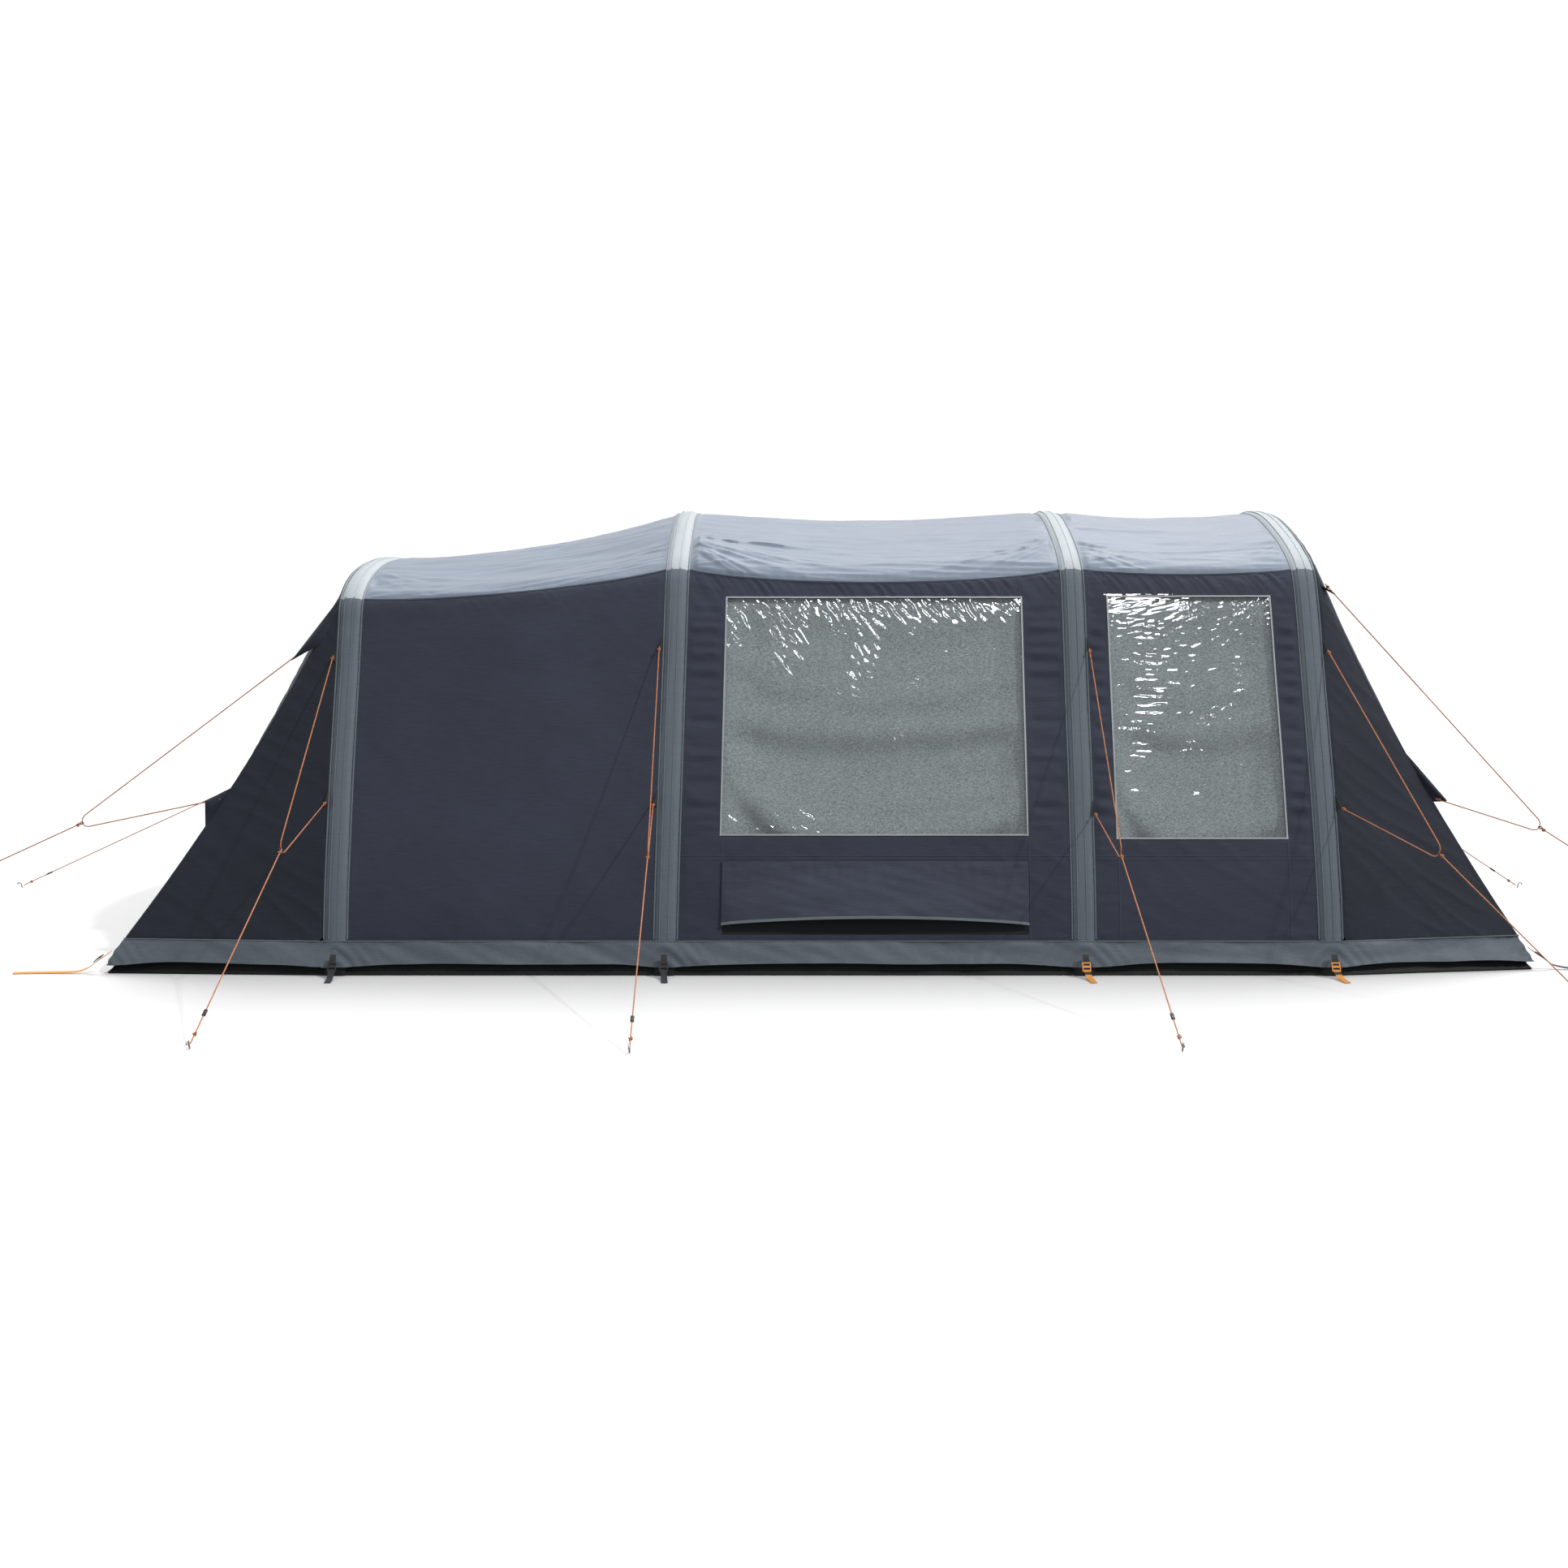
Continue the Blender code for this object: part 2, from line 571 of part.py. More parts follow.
# ---------------------------------------------------------------- bedroom
def bedroom_section(x, inner):
    """Ring of the bedroom's tube at a station, its floor included."""
    shell = 0.004 if inner else 0.0
    surface = bay_surface(0)
    u = min(max(x_to_u(0, x, 1.0), 0.02), 0.98)
    foot = x < BEDROOM_X[1]
    squash_z, squash_y = (BEDROOM_FOOT_HEIGHT, BEDROOM_FOOT_WIDTH) if foot else (1.0, 1.0)
    ring = []
    for v in (0.1, 1.5, 3.0, 4.4, 5.6, 7.2, 9.0, 10.8, 12.4, 13.6, 15.0, 16.5, 17.9):
        normal = surface_normal(surface, u, v, (0, 1), (0, FAR_FOOT))
        p = surface(u, v) - normal * (BEDROOM_INSET + shell)
        z = max(p.z * squash_z, 0.008)
        ring.append(Vector((x, p.y * squash_y, z + (shell if v in (0.1, 17.9) else 0.0))))
    return ring


def bedroom_solid(name, inner, material):
    shell = 0.004 if inner else 0.0
    bm = bmesh.new()
    rings = []
    for x, shift in zip(BEDROOM_X, (-shell, 0.0, shell)):
        rings.append([bm.verts.new(p + Vector((shift, 0, 0))) for p in bedroom_section(x, inner)])
    for first, second in zip(rings, rings[1:]):
        bridge(bm, first, second)
    bm.faces.new(rings[0])
    bm.faces.new(rings[-1])
    return add_mesh(name, bm, material)


def inner_tent():
    cloth = principled("bedroom", BEDROOM, 0.85)
    obj = bedroom_solid("inner_tent", False, cloth)
    boolean(obj, bedroom_solid("cavity", True, cloth), "DIFFERENCE")
    z0, z1 = BEDROOM_DOOR_Z
    size = (0.2, 2 * BEDROOM_DOOR_HALF, z1 - z0)
    cutter = add_mesh("cutter", box_mesh((BEDROOM_X[0], 0, (z0 + z1) / 2), size), cloth)
    boolean(obj, cutter, "DIFFERENCE")
    return obj


def inner_door():
    front = BEDROOM_X[0]
    z0, z1 = BEDROOM_DOOR_Z
    half = BEDROOM_DOOR_HALF - GAP
    pivot = Vector((front + 0.001, -BEDROOM_DOOR_HALF + GAP / 2, z0))
    bm = box_mesh((front - CLOTH / 2, 0, (z0 + z1) / 2), (CLOTH, 2 * half, z1 - z0 - 2 * GAP))
    add_mesh("inner_tent_door", bm, principled("bedroom_door", BEDROOM, 0.85), origin=pivot)
    y = BEDROOM_DOOR_HALF + ZIP_BESIDE_DOOR
    zip_pull("inner_door_zip_pull", Vector((front, y, z0 + 0.04)), Vector((front, y, z1)),
             Vector((1, 0, 0)), 0.0)


# ---------------------------------------------------------------- guy lines
def rounded_corner(start, corner, end, radius, count=4):
    """Points of an arc that rounds the corner between two straight legs."""
    a, b = (start - corner).normalized(), (end - corner).normalized()
    half = a.angle(b) / 2
    centre = corner + (a + b).normalized() * (radius / math.sin(half))
    first = corner + a * (radius / math.tan(half))
    last = corner + b * (radius / math.tan(half))
    points = []
    for i in range(count + 1):
        spoke = (first - centre).slerp(last - centre, i / count)
        points.append(centre + spoke.normalized() * radius)
    return points


def cord_mesh(name, points, material):
    """Tube along a list of points, as a mesh object."""
    curve = bpy.data.curves.new(name, "CURVE")
    curve.dimensions = "3D"
    curve.bevel_depth = CORD / 2
    curve.bevel_resolution = 2
    curve.use_fill_caps = True
    spline = curve.splines.new("POLY")
    spline.points.add(len(points) - 1)
    for target, point in zip(spline.points, points):
        target.co = (*point, 1.0)
    curve.materials.append(material)
    obj = bpy.data.objects.new(name, curve)
    bpy.context.scene.collection.objects.link(obj)
    bpy.context.view_layer.update()
    evaluated = obj.evaluated_get(bpy.context.evaluated_depsgraph_get())
    mesh = bpy.data.meshes.new_from_object(evaluated)
    bpy.data.objects.remove(obj, do_unlink=True)
    result = bpy.data.objects.new(name, mesh)
    bpy.context.scene.collection.objects.link(result)
    return result


def guy_points(key, far):
    side = -1 if far else 1
    upper, lower, ring, peg = GUYS[key]
    return (Vector((upper[0], upper[1] * side, upper[2])), Vector((lower[0], lower[1] * side, lower[2])),
            Vector((ring[0], ring[1] * side, ring[2])), Vector((peg[0], peg[1] * side, PEG_HEIGHT)))


def guy_line(key, far):
    """Y-shaped guy: two legs from the tent meet at a ring, and one tail runs to the peg."""
    place = f"{key}_{'far' if far else 'near'}"
    material = principled("cord", ORANGE, 0.7)
    upper, lower, ring, peg = guy_points(key, far)
    legs = [upper, *rounded_corner(upper, ring, lower, RING_BEND), lower]
    bend = legs[3]
    obj = cord_mesh(f"guy_line_{place}", legs, material)
    obj.data.materials.clear()
    obj.data.materials.append(material)
    knot = bmesh.new()
    bmesh.ops.create_uvsphere(knot, u_segments=8, v_segments=5, radius=KNOT_RADIUS)
    bmesh.ops.translate(knot, verts=knot.verts, vec=bend)
    boolean(obj, add_mesh("knot", knot, material, origin=bend), "UNION")
    boolean(obj, cord_mesh("tail", [bend, (bend + peg) / 2, peg], material), "UNION")
    guy_runner(place, bend, peg)


def guy_runner(place, bend, peg):
    """Sliding adjuster on the tail, bored along its length for the cord."""
    along = (bend - peg).normalized()
    side = along.cross(Vector((0, 0, 1))).normalized()
    up = along.cross(side).normalized()
    centre = peg + along * RUNNER_FROM_PEG
    bm = box_mesh(centre, RUNNER_SIZE, (along, side, up))
    bmesh.ops.bevel(bm, geom=bm.edges[:], offset=0.002, segments=1, affect="EDGES")
    material = principled("runner", BLACK, 0.4)
    obj = add_mesh(f"guy_runner_{place}", bm, material, origin=centre)
    bore = bmesh.new()
    bmesh.ops.create_cone(bore, cap_ends=True, segments=12, radius1=RUNNER_BORE, radius2=RUNNER_BORE,
                          depth=RUNNER_SIZE[0] * 2)
    turn = Vector((0, 0, 1)).rotation_difference(along).to_matrix()
    bmesh.ops.rotate(bore, verts=bore.verts, cent=(0, 0, 0), matrix=turn)
    bmesh.ops.translate(bore, verts=bore.verts, vec=centre)
    boolean(obj, add_mesh("bore", bore, material, origin=centre), "DIFFERENCE")


def build():
    clear_scene()
    for k in range(4):
        air_beam(k)
        beam_sleeve(k)
    for k, bay in enumerate(("rear", "middle", "front")):
        roof_panel(f"roof_panel_{bay}", k)
    wall_panel("wall_near_rear", 0, False)
    wall_panel("wall_near_middle", 1, False, (WINDOW_NEAR_LARGE, VENT))
    wall_panel("wall_near_front", 2, False, (WINDOW_NEAR_SMALL,))
    wall_panel("wall_far_rear", 0, True)
    wall_panel("wall_far_middle", 1, True, (WINDOW_FAR_LARGE,))
    wall_panel("wall_far_front", 2, True, (SIDE_DOOR,))
    end_panel("rear_end_panel", False)
    end_panel("front_end_panel", True, ((FRONT_DOOR_U, FRONT_DOOR_V),))
    mud_skirt()
    groundsheet()
    window_and_curtain("near_large", 1, WINDOW_NEAR_LARGE, False)
    window_and_curtain("near_small", 2, WINDOW_NEAR_SMALL, False)
    window_and_curtain("far_large", 1, WINDOW_FAR_LARGE, True)
    vent()
    front_door()
    side_door()
    inner_tent()
    inner_door()
    for key in GUYS:
        for far in (False, True):
            guy_line(key, far)


build()
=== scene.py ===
"""Looks of the four-beam inflatable tunnel tent: cloth, film, cords and fittings around the CAD frame.

Frame: metres, +Z up, origin on the ground under the middle of the tent, +X to the front (main door),
-Y the near side (vent under the long window). The surfaces repeat the design's own formulas: u runs
along a bay, v runs over the arch from the near foot (0) over the crown (9) to the far foot (18).
"""
import math

import bmesh
import bpy
import numpy as np
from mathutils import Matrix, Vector


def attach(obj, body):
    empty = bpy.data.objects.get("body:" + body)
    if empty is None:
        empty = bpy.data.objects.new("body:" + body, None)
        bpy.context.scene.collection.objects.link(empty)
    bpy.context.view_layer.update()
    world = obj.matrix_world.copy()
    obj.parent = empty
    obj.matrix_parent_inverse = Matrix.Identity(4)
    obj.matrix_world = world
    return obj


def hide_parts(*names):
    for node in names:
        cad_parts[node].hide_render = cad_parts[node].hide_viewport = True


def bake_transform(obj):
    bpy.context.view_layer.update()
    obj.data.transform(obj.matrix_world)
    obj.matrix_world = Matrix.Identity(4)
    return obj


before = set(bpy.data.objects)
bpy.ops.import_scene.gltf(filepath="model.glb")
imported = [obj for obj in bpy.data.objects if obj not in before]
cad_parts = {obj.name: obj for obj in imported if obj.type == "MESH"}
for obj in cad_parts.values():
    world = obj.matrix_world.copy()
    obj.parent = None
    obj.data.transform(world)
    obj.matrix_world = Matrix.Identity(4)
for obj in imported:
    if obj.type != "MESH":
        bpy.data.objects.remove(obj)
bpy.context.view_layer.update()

BODY = "tent"

# ---------------------------------------------------------------- design dimensions
TALL_ARCH = [(1.62, 0.0), (1.54, 0.38), (1.39, 0.85), (1.225, 1.285), (1.105, 1.61),
             (1.01, 1.775), (0.83, 1.885), (0.55, 1.995), (0.28, 2.07), (0.0, 2.098)]
LOW_ARCH = [(1.62, 0.0), (1.54, 0.38), (1.39, 0.85), (1.225, 1.285), (1.15, 1.49),
            (1.08, 1.64), (0.87, 1.75), (0.58, 1.82), (0.29, 1.853), (0.0, 1.865)]
BEAM_ARCH = [LOW_ARCH, TALL_ARCH, TALL_ARCH, TALL_ARCH]
BEAM_X = [-2.115, -0.692, 1.122, 2.192]
BEAM_LEAN = [-0.012, 0.018, 0.008, 0.0]
BAYS = ("rear", "middle", "front")
CROWN = 9.0
SEAM = 5.0
FAR_FOOT = 2 * CROWN
BEAM_RADIUS = 0.0455
SLEEVE_HALF_WIDTH = 0.056
SLEEVE_HALF_DEPTH = 0.050
CLOTH_DEPTH = 0.012
PANEL_EDGE = 0.056
END_EDGE = PANEL_EDGE + 0.004
ROOF_SAG = [0.05, 0.04, 0.03]
SEAM_DIP = [0.20, 0.42, 0.10]                # how far the roof seam hangs, in arch parameter
CORNER_X = 3.1325
REAR_CORNER_Y = 1.564
FRONT_CORNER_Y = 1.46
FOOT_Y = 1.62
END_HOLLOW = 0.05
SKIRT_TOP = 0.148
SKIRT_BOTTOM = 0.028
PANEL_BOTTOM = 0.140                         # the panels end behind the skirt's upper edge
WINDOW_NEAR_LARGE = (-0.444, 0.895, 0.60, 1.645)    # low x, high x, low z, high z
WINDOW_NEAR_SMALL = (1.285, 2.025, 0.585, 1.65)
WINDOW_FAR_LARGE = WINDOW_NEAR_LARGE
VENT = (-0.444, 0.885, 0.175, 0.47)
VENT_FLAP = (-0.446, 0.887, 0.225, 0.487)
SIDE_DOOR = (1.33, 2.04, 0.19, 1.52)
FRONT_DOOR_V = (7.0, 11.0)
FRONT_DOOR_U = (0.14, 0.93)
BEDROOM_X = (-0.79, -2.06, -2.80)
BEDROOM_INSET = 0.13
BEDROOM_DOOR_HALF = 0.45
BEDROOM_DOOR_Z = (0.10, 1.60)
CORD = 0.005
RING_BEND = 0.03
PEG_HEIGHT = 0.022
RUNNER_FROM_PEG = 0.17
RUNNER_LENGTH = 0.034
# Guy lines on the near side: upper tie, lower tie, ring, peg. The far side mirrors them.
GUYS = {
    "beam_1": ((-2.197, -1.192, 1.376), (-2.181, -1.445, 0.739), (-2.225, -2.14, 0.544), (-2.27, -3.124)),
    "beam_2": ((-0.735, -1.185, 1.416), (-0.748, -1.447, 0.732), (-0.733, -2.066, 0.509), (-0.715, -3.192)),
    "beam_3": ((1.194, -1.188, 1.409), (1.184, -1.46, 0.69), (1.20, -2.102, 0.533), (1.22, -3.165)),
    "beam_4": ((2.262, -1.19, 1.402), (2.262, -1.452, 0.714), (2.512, -2.137, 0.537), (2.80, -3.17)),
    "rear": ((-2.302, -1.139, 1.432), (-2.672, -1.342, 0.744), (-3.385, -1.317, 0.595), (-4.633, -1.364)),
    "front": ((2.290, -1.028, 1.703), (2.734, -1.270, 0.740), (3.266, -1.282, 0.57), (4.115, -1.364)),
}

FINE = 0.010                                 # spacing of the cloth's grid
COARSE = FINE
CLOTH = 0.0015                               # thickness of the sewn cloth
BAND_CLOTH = 0.0018                          # thickness of the skirt, the flap and the straps
SHARP_EDGE = 50                              # degrees; shading is smooth below it
ROUND = 2 * math.pi


def side_of(far):
    return "far" if far else "near"


def sign_of(positive):
    return 1 if positive else -1


def on_side(v, far):
    """Arch parameter of the same place on the far side."""
    return FAR_FOOT - v if far else v


# ---------------------------------------------------------------- numbers and fields
def mix(a, b, t):
    return a + (b - a) * t


def smoothstep(t):
    t = np.clip(t, 0.0, 1.0)
    return t * t * (3 - 2 * t)


def lattice_noise(x, y, seed):
    """Smooth noise from about -1 to 1 on a unit lattice."""
    column, row = np.floor(x).astype(np.int64), np.floor(y).astype(np.int64)
    fx, fy = x - column, y - row

    def corner(i, j):
        mixed = (column + i) * 374761393 + (row + j) * 668265263 + seed * 974634777
        mixed = (mixed ^ (mixed >> 13)) * 1274126177
        angle = ((mixed ^ (mixed >> 16)) & 0xFFFF) * (2 * np.pi / 65536)
        return np.cos(angle) * (fx - i) + np.sin(angle) * (fy - j)

    low = mix(corner(0, 0), corner(1, 0), smoothstep(fx))
    high = mix(corner(0, 1), corner(1, 1), smoothstep(fx))
    return 1.4 * mix(low, high, smoothstep(fy))


def waves(x, y, angle, length, width, seed):
    """Noise drawn out along a direction (degrees from x), with folds of a length and a width."""
    c, s = math.cos(math.radians(angle)), math.sin(math.radians(angle))
    return lattice_noise((x * c + y * s) / length, (y * c - x * s) / width, seed)


def crests(x, y, angle, length, width, seed, sharpness=5.0):
    """Thin ridge lines, 0 to 1, where drawn-out noise crosses zero."""
    return np.exp(-(waves(x, y, angle, length, width, seed) * sharpness) ** 2)


def crease(x, y, start, end, width):
    """Ridge along a segment, 1 in its middle and 0 past its ends."""
    start, end = np.array(start, float), np.array(end, float)
    span = end - start
    size = float(np.hypot(*span))
    along = ((x - start[0]) * span[0] + (y - start[1]) * span[1]) / size ** 2
    across = ((x - start[0]) * span[1] - (y - start[1]) * span[0]) / size
    taper = smoothstep(along / 0.12) * smoothstep((1 - along) / 0.75)
    spread = width * (0.5 + 1.1 * np.clip(along, 0, 1))
    return taper * np.exp(-(across / spread) ** 2)


def fan(x, y, corner, angles, count, length, width, seed):
    """Creases that radiate from a corner between two angles, in degrees."""
    rng = np.random.default_rng(seed)
    height = np.zeros_like(x)
    for i in range(count):
        angle = math.radians(mix(angles[0], angles[1], (i + 0.3 + 0.4 * rng.random()) / count))
        reach = length * (0.45 + 0.55 * rng.random())
        end = (corner[0] + reach * math.cos(angle), corner[1] + reach * math.sin(angle))
        height = height + crease(x, y, corner, end, width * (0.6 + 0.8 * rng.random())) * (
            0.5 + 0.5 * rng.random())
    return height


def pucker(along, distance, spacing, reach, seed):
    """Short gathers that run away from a seam: along it, and distance from it."""
    return lattice_noise(along / spacing, distance / (reach * 3), seed) * np.exp(
        -(np.maximum(distance, 0) / reach) ** 1.5)


# ---------------------------------------------------------------- surfaces
def catmull(a, b, c, d, f):
    """Point between b and c on a smooth curve through four points."""
    return 0.5 * (2 * b + (c - a) * f + (2 * a - 5 * b + 4 * c - d) * f ** 2
                  + (3 * b - a - 3 * c + d) * f ** 3)


def arch_point(points, v):
    """Points (y, z) of an arch at parameters v."""
    v = np.asarray(v, float)
    last = len(points) - 1
    control = np.array([(2 * points[0][0] - points[1][0], 2 * points[0][1] - points[1][1]), *points,
                        (-points[last - 1][0], points[last - 1][1])])
    near = v <= CROWN
    t = np.clip(np.where(near, v, FAR_FOOT - v), 0.0, CROWN)
    i = np.minimum(t.astype(int), last - 1)
    p = catmull(*(control[i + j] for j in range(4)), (t - i)[..., None])
    return np.where(near, -1.0, 1.0) * p[..., 0], np.maximum(p[..., 1], 0.0)


def beam_point(k, v, dx=0.0):
    y, z = arch_point(BEAM_ARCH[k], v)
    return np.stack([BEAM_X[k] + BEAM_LEAN[k] * z + dx, y, z], -1)


def unit(vectors):
    return vectors / np.maximum(np.linalg.norm(vectors, axis=-1, keepdims=True), 1e-12)


def beam_frame(k, v):
    """Tangent and outward direction of a beam's outline at v."""
    step = 0.02
    ahead, behind = np.minimum(v + step, FAR_FOOT), np.maximum(v - step, 0.0)
    tangent = unit(beam_point(k, ahead) - beam_point(k, behind))
    return tangent, unit(np.cross(np.array([1.0, 0, 0]), tangent))


def over_of(v):
    return np.where(v <= CROWN, v, FAR_FOOT - v)


def bay_surface(k, u, v):
    p = mix(beam_point(k, v, PANEL_EDGE), beam_point(k + 1, v, -PANEL_EDGE), u[..., None])
    sag = ROOF_SAG[k] * 4 * u * (1 - u) * smoothstep((over_of(v) - 4.2) / 2.0)
    down = unit(np.stack([np.zeros_like(u), -0.35 * p[..., 1], -np.ones_like(u)], -1))
    return p + down * sag[..., None]


def end_line(front, v, height):
    """Top and bottom of the fall lines v of a sloping end."""
    beam, corner_y = (3, FRONT_CORNER_Y) if front else (0, REAR_CORNER_Y)
    sign = 1 if front else -1
    top = beam_point(beam, v, sign * END_EDGE) - beam_frame(beam, v)[1] * CLOTH_DEPTH
    over, side = over_of(v), np.where(v <= CROWN, -1.0, 1.0)
    t = np.clip(over / SEAM, 0, 1)
    foot_x = BEAM_X[beam] + sign * PANEL_EDGE
    shoulder = -arch_point(BEAM_ARCH[beam], SEAM)[0]
    y_side = side * mix(FOOT_Y, corner_y, t)
    y_end = arch_point(BEAM_ARCH[beam], v)[0] * corner_y / shoulder
    ground = np.stack([mix(foot_x, sign * CORNER_X, t), np.where(over < SEAM, y_side, y_end),
                       np.zeros_like(over)], -1)
    share = (top[..., 2] - height) / top[..., 2]
    return top, mix(top, ground, share[..., None])


def end_surface(front, u, v):
    top, bottom = end_line(front, v, PANEL_BOTTOM)
    over = over_of(v)
    weight = smoothstep((over - 1.8) / 3.2) * (1 - smoothstep((over - SEAM) / 1.8))
    inward = unit(np.stack([np.full_like(u, -1.0 if front else 1.0), np.where(v < CROWN, 0.25, -0.25),
                            np.zeros_like(u)], -1))
    return mix(top, bottom, u[..., None]) + inward * (END_HOLLOW * 4 * u * (1 - u) * weight)[..., None]


def surface_normal(surface, which, u, v):
    """Unit normal of a surface of u and v."""
    e = 1e-3
    along = surface(which, u + e, v) - surface(which, u - e, v)
    over = surface(which, u, v + e) - surface(which, u, v - e)
    return unit(np.cross(along, over))


V_TABLE = np.linspace(0.0, FAR_FOOT, 1801)
TALL_LINE = np.stack(arch_point(TALL_ARCH, V_TABLE), -1)
ARC_TABLE = np.concatenate([[0.0], np.cumsum(np.linalg.norm(np.diff(TALL_LINE, axis=0), axis=1))])


def arc(v):
    """Length along the arch from the near foot to v."""
    return np.interp(v, V_TABLE, ARC_TABLE)


def height_to_v(z, far=False):
    leg = V_TABLE <= SEAM
    return on_side(float(np.interp(z, TALL_LINE[leg, 1], V_TABLE[leg])), far)


def x_to_u(k, x, z):
    a = BEAM_X[k] + BEAM_LEAN[k] * z + PANEL_EDGE
    b = BEAM_X[k + 1] + BEAM_LEAN[k + 1] * z - PANEL_EDGE
    return (x - a) / (b - a)


def patch(k, box, far=False, margin=0.0):
    """Range of u and v that a box covers on the wall of bay k, smaller by a margin."""
    x0, x1, z0, z1 = box
    middle = (z0 + z1) / 2
    us = (x_to_u(k, x0 + margin, middle), x_to_u(k, x1 - margin, middle))
    return us, tuple(sorted((height_to_v(z0 + margin, far), height_to_v(z1 - margin, far))))


def seam_v(k, u):
    """Arch parameter of the near seam between wall and roof, which hangs between the beams."""
    return SEAM - SEAM_DIP[k] * np.maximum(4 * u * (1 - u), 0.0) ** 0.8


def stations(start, end, spacing, length, extra=()):
    """Even values from start to end, about spacing apart over a length, with the extra values in them."""
    count = max(2, int(round(length / spacing)))
    values = np.linspace(start, end, count + 1)
    step = (end - start) / count
    keep = [x for x in values if x in (start, end) or all(abs(x - e) > 0.45 * step for e in extra)]
    return np.array(sorted(keep + list(extra)))


# ---------------------------------------------------------------- meshes
def add(name, data):
    """Object in the scene for a mesh, a curve, a light or a camera."""
    obj = bpy.data.objects.new(name, data)
    bpy.context.scene.collection.objects.link(obj)
    return obj


def link(name, mesh, materials):
    """Object of a mesh, shaded smooth."""
    for material in materials:
        mesh.materials.append(material)
    mesh.shade_smooth()
    mesh.set_sharp_from_angle(angle=math.radians(SHARP_EDGE))
    return add(name, mesh)


def grid_normals(points):
    return unit(np.cross(np.gradient(points, axis=0), np.gradient(points, axis=1)))


def sheet_faces(cells, back):
    """Faces of a closed sheet over the open cells of a grid: front, back and rims."""
    rows, cols = cells.shape
    index = np.arange((rows + 1) * (cols + 1)).reshape(rows + 1, cols + 1)
    ring = [index[:-1, :-1], index[1:, :-1], index[1:, 1:], index[:-1, 1:]]
    faces = [np.stack(ring, -1)[cells], np.stack([r + back for r in reversed(ring)], -1)[cells]]
    padded = np.pad(cells, 1)
    for side, (di, dj) in enumerate(((0, -1), (1, 0), (0, 1), (-1, 0))):
        edge = cells & ~padded[1 + di:1 + di + rows, 1 + dj:1 + dj + cols]
        a, b = ring[side][edge], ring[(side + 1) % 4][edge]
        faces.append(np.stack([a + back, b + back, b, a], -1))
    return np.concatenate(faces)


def sheet(name, points, thickness, materials, flip=False, cells=None):
    """Closed thin sheet under a grid of points whose rows and columns turn with its outward side."""
    normals = grid_normals(points) * (-1 if flip else 1)
    verts = np.concatenate([points.reshape(-1, 3), (points - normals * thickness).reshape(-1, 3)])
    if cells is None:
        cells = np.ones((points.shape[0] - 1, points.shape[1] - 1), bool)
    faces = sheet_faces(cells, points.shape[0] * points.shape[1])
    if flip:
        faces = faces[:, ::-1]
    used, packed = np.unique(faces, return_inverse=True)
    mesh = bpy.data.meshes.new(name)
    mesh.from_pydata(verts[used].tolist(), [], packed.reshape(faces.shape).tolist())
    mesh.update()
    return link(name, mesh, materials)


def open_cells(lines_a, lines_b, boxes):
    """Cells of a grid between two sets of lines that lie outside every box, ((low, high), (low, high))."""
    a, b = (lines_a[1:] + lines_a[:-1]) / 2, (lines_b[1:] + lines_b[:-1]) / 2
    cells = np.ones((len(a), len(b)), bool)
    for in_a, in_b in boxes:
        cells &= ~(((a > in_a[0]) & (a < in_a[1]))[:, None] & ((b > in_b[0]) & (b < in_b[1]))[None])
    return cells


def loft(name, rings, materials, closed=False, slots=None):
    """Closed body over rings of points (stations, around, 3), with end caps unless the rings meet."""
    rings = np.asarray(rings)
    count, around = rings.shape[:2]
    index = np.arange(count * around).reshape(count, around)
    ahead = np.roll(index, -1, axis=0) if closed else index[1:]
    here = index if closed else index[:-1]
    quads = np.stack([here, np.roll(here, -1, 1), np.roll(ahead, -1, 1), ahead], -1).reshape(-1, 4)
    bm = bmesh.new()
    verts = [bm.verts.new(p) for p in rings.reshape(-1, 3)]
    for i, quad in enumerate(quads):
        face = bm.faces.new([verts[j] for j in quad])
        if slots is not None:
            face.material_index = int(slots[i // around])
    if not closed:
        bm.faces.new([verts[j] for j in index[0][::-1]])
        bm.faces.new([verts[j] for j in index[-1]])
    return closed_body(name, bm, materials)


def closed_body(name, bm, materials):
    """Object from a closed bmesh, with its faces turned out."""
    middle = sum((v.co for v in bm.verts), Vector()) / len(bm.verts)
    bmesh.ops.translate(bm, verts=bm.verts, vec=-middle)
    bmesh.ops.recalc_face_normals(bm, faces=bm.faces)
    if bm.calc_volume(signed=True) < 0:
        bmesh.ops.reverse_faces(bm, faces=bm.faces)
    bmesh.ops.translate(bm, verts=bm.verts, vec=middle)
    mesh = bpy.data.meshes.new(name)
    bm.to_mesh(mesh)
    bm.free()
    return link(name, mesh, materials)


def path_frames(points):
    """A pair of steady cross directions along a line of points."""
    tangents = unit(np.gradient(points, axis=0))
    side = np.cross(tangents[0], [0.0, 0, 1.0])
    if np.linalg.norm(side) < 0.1:
        side = np.cross(tangents[0], [0.0, 1.0, 0])
    sides = []
    for tangent in tangents:
        side = side - tangent * float(np.dot(side, tangent))
        side = side / np.linalg.norm(side)
        sides.append(side)
    sides = np.array(sides)
    return sides, np.cross(sides, tangents)


def round_rings(points, side, up, radius, around):
    """Circles about a line of points."""
    angle = np.linspace(0, ROUND, around, endpoint=False)[None, :, None]
    return points[:, None] + (side[:, None] * np.cos(angle) + up[:, None] * np.sin(angle)) * radius


def tube(name, points, radius, materials, around=10):
    """Round bar along a line of points."""
    points = np.asarray(points, float)
    return loft(name, round_rings(points, *path_frames(points), radius, around), materials)


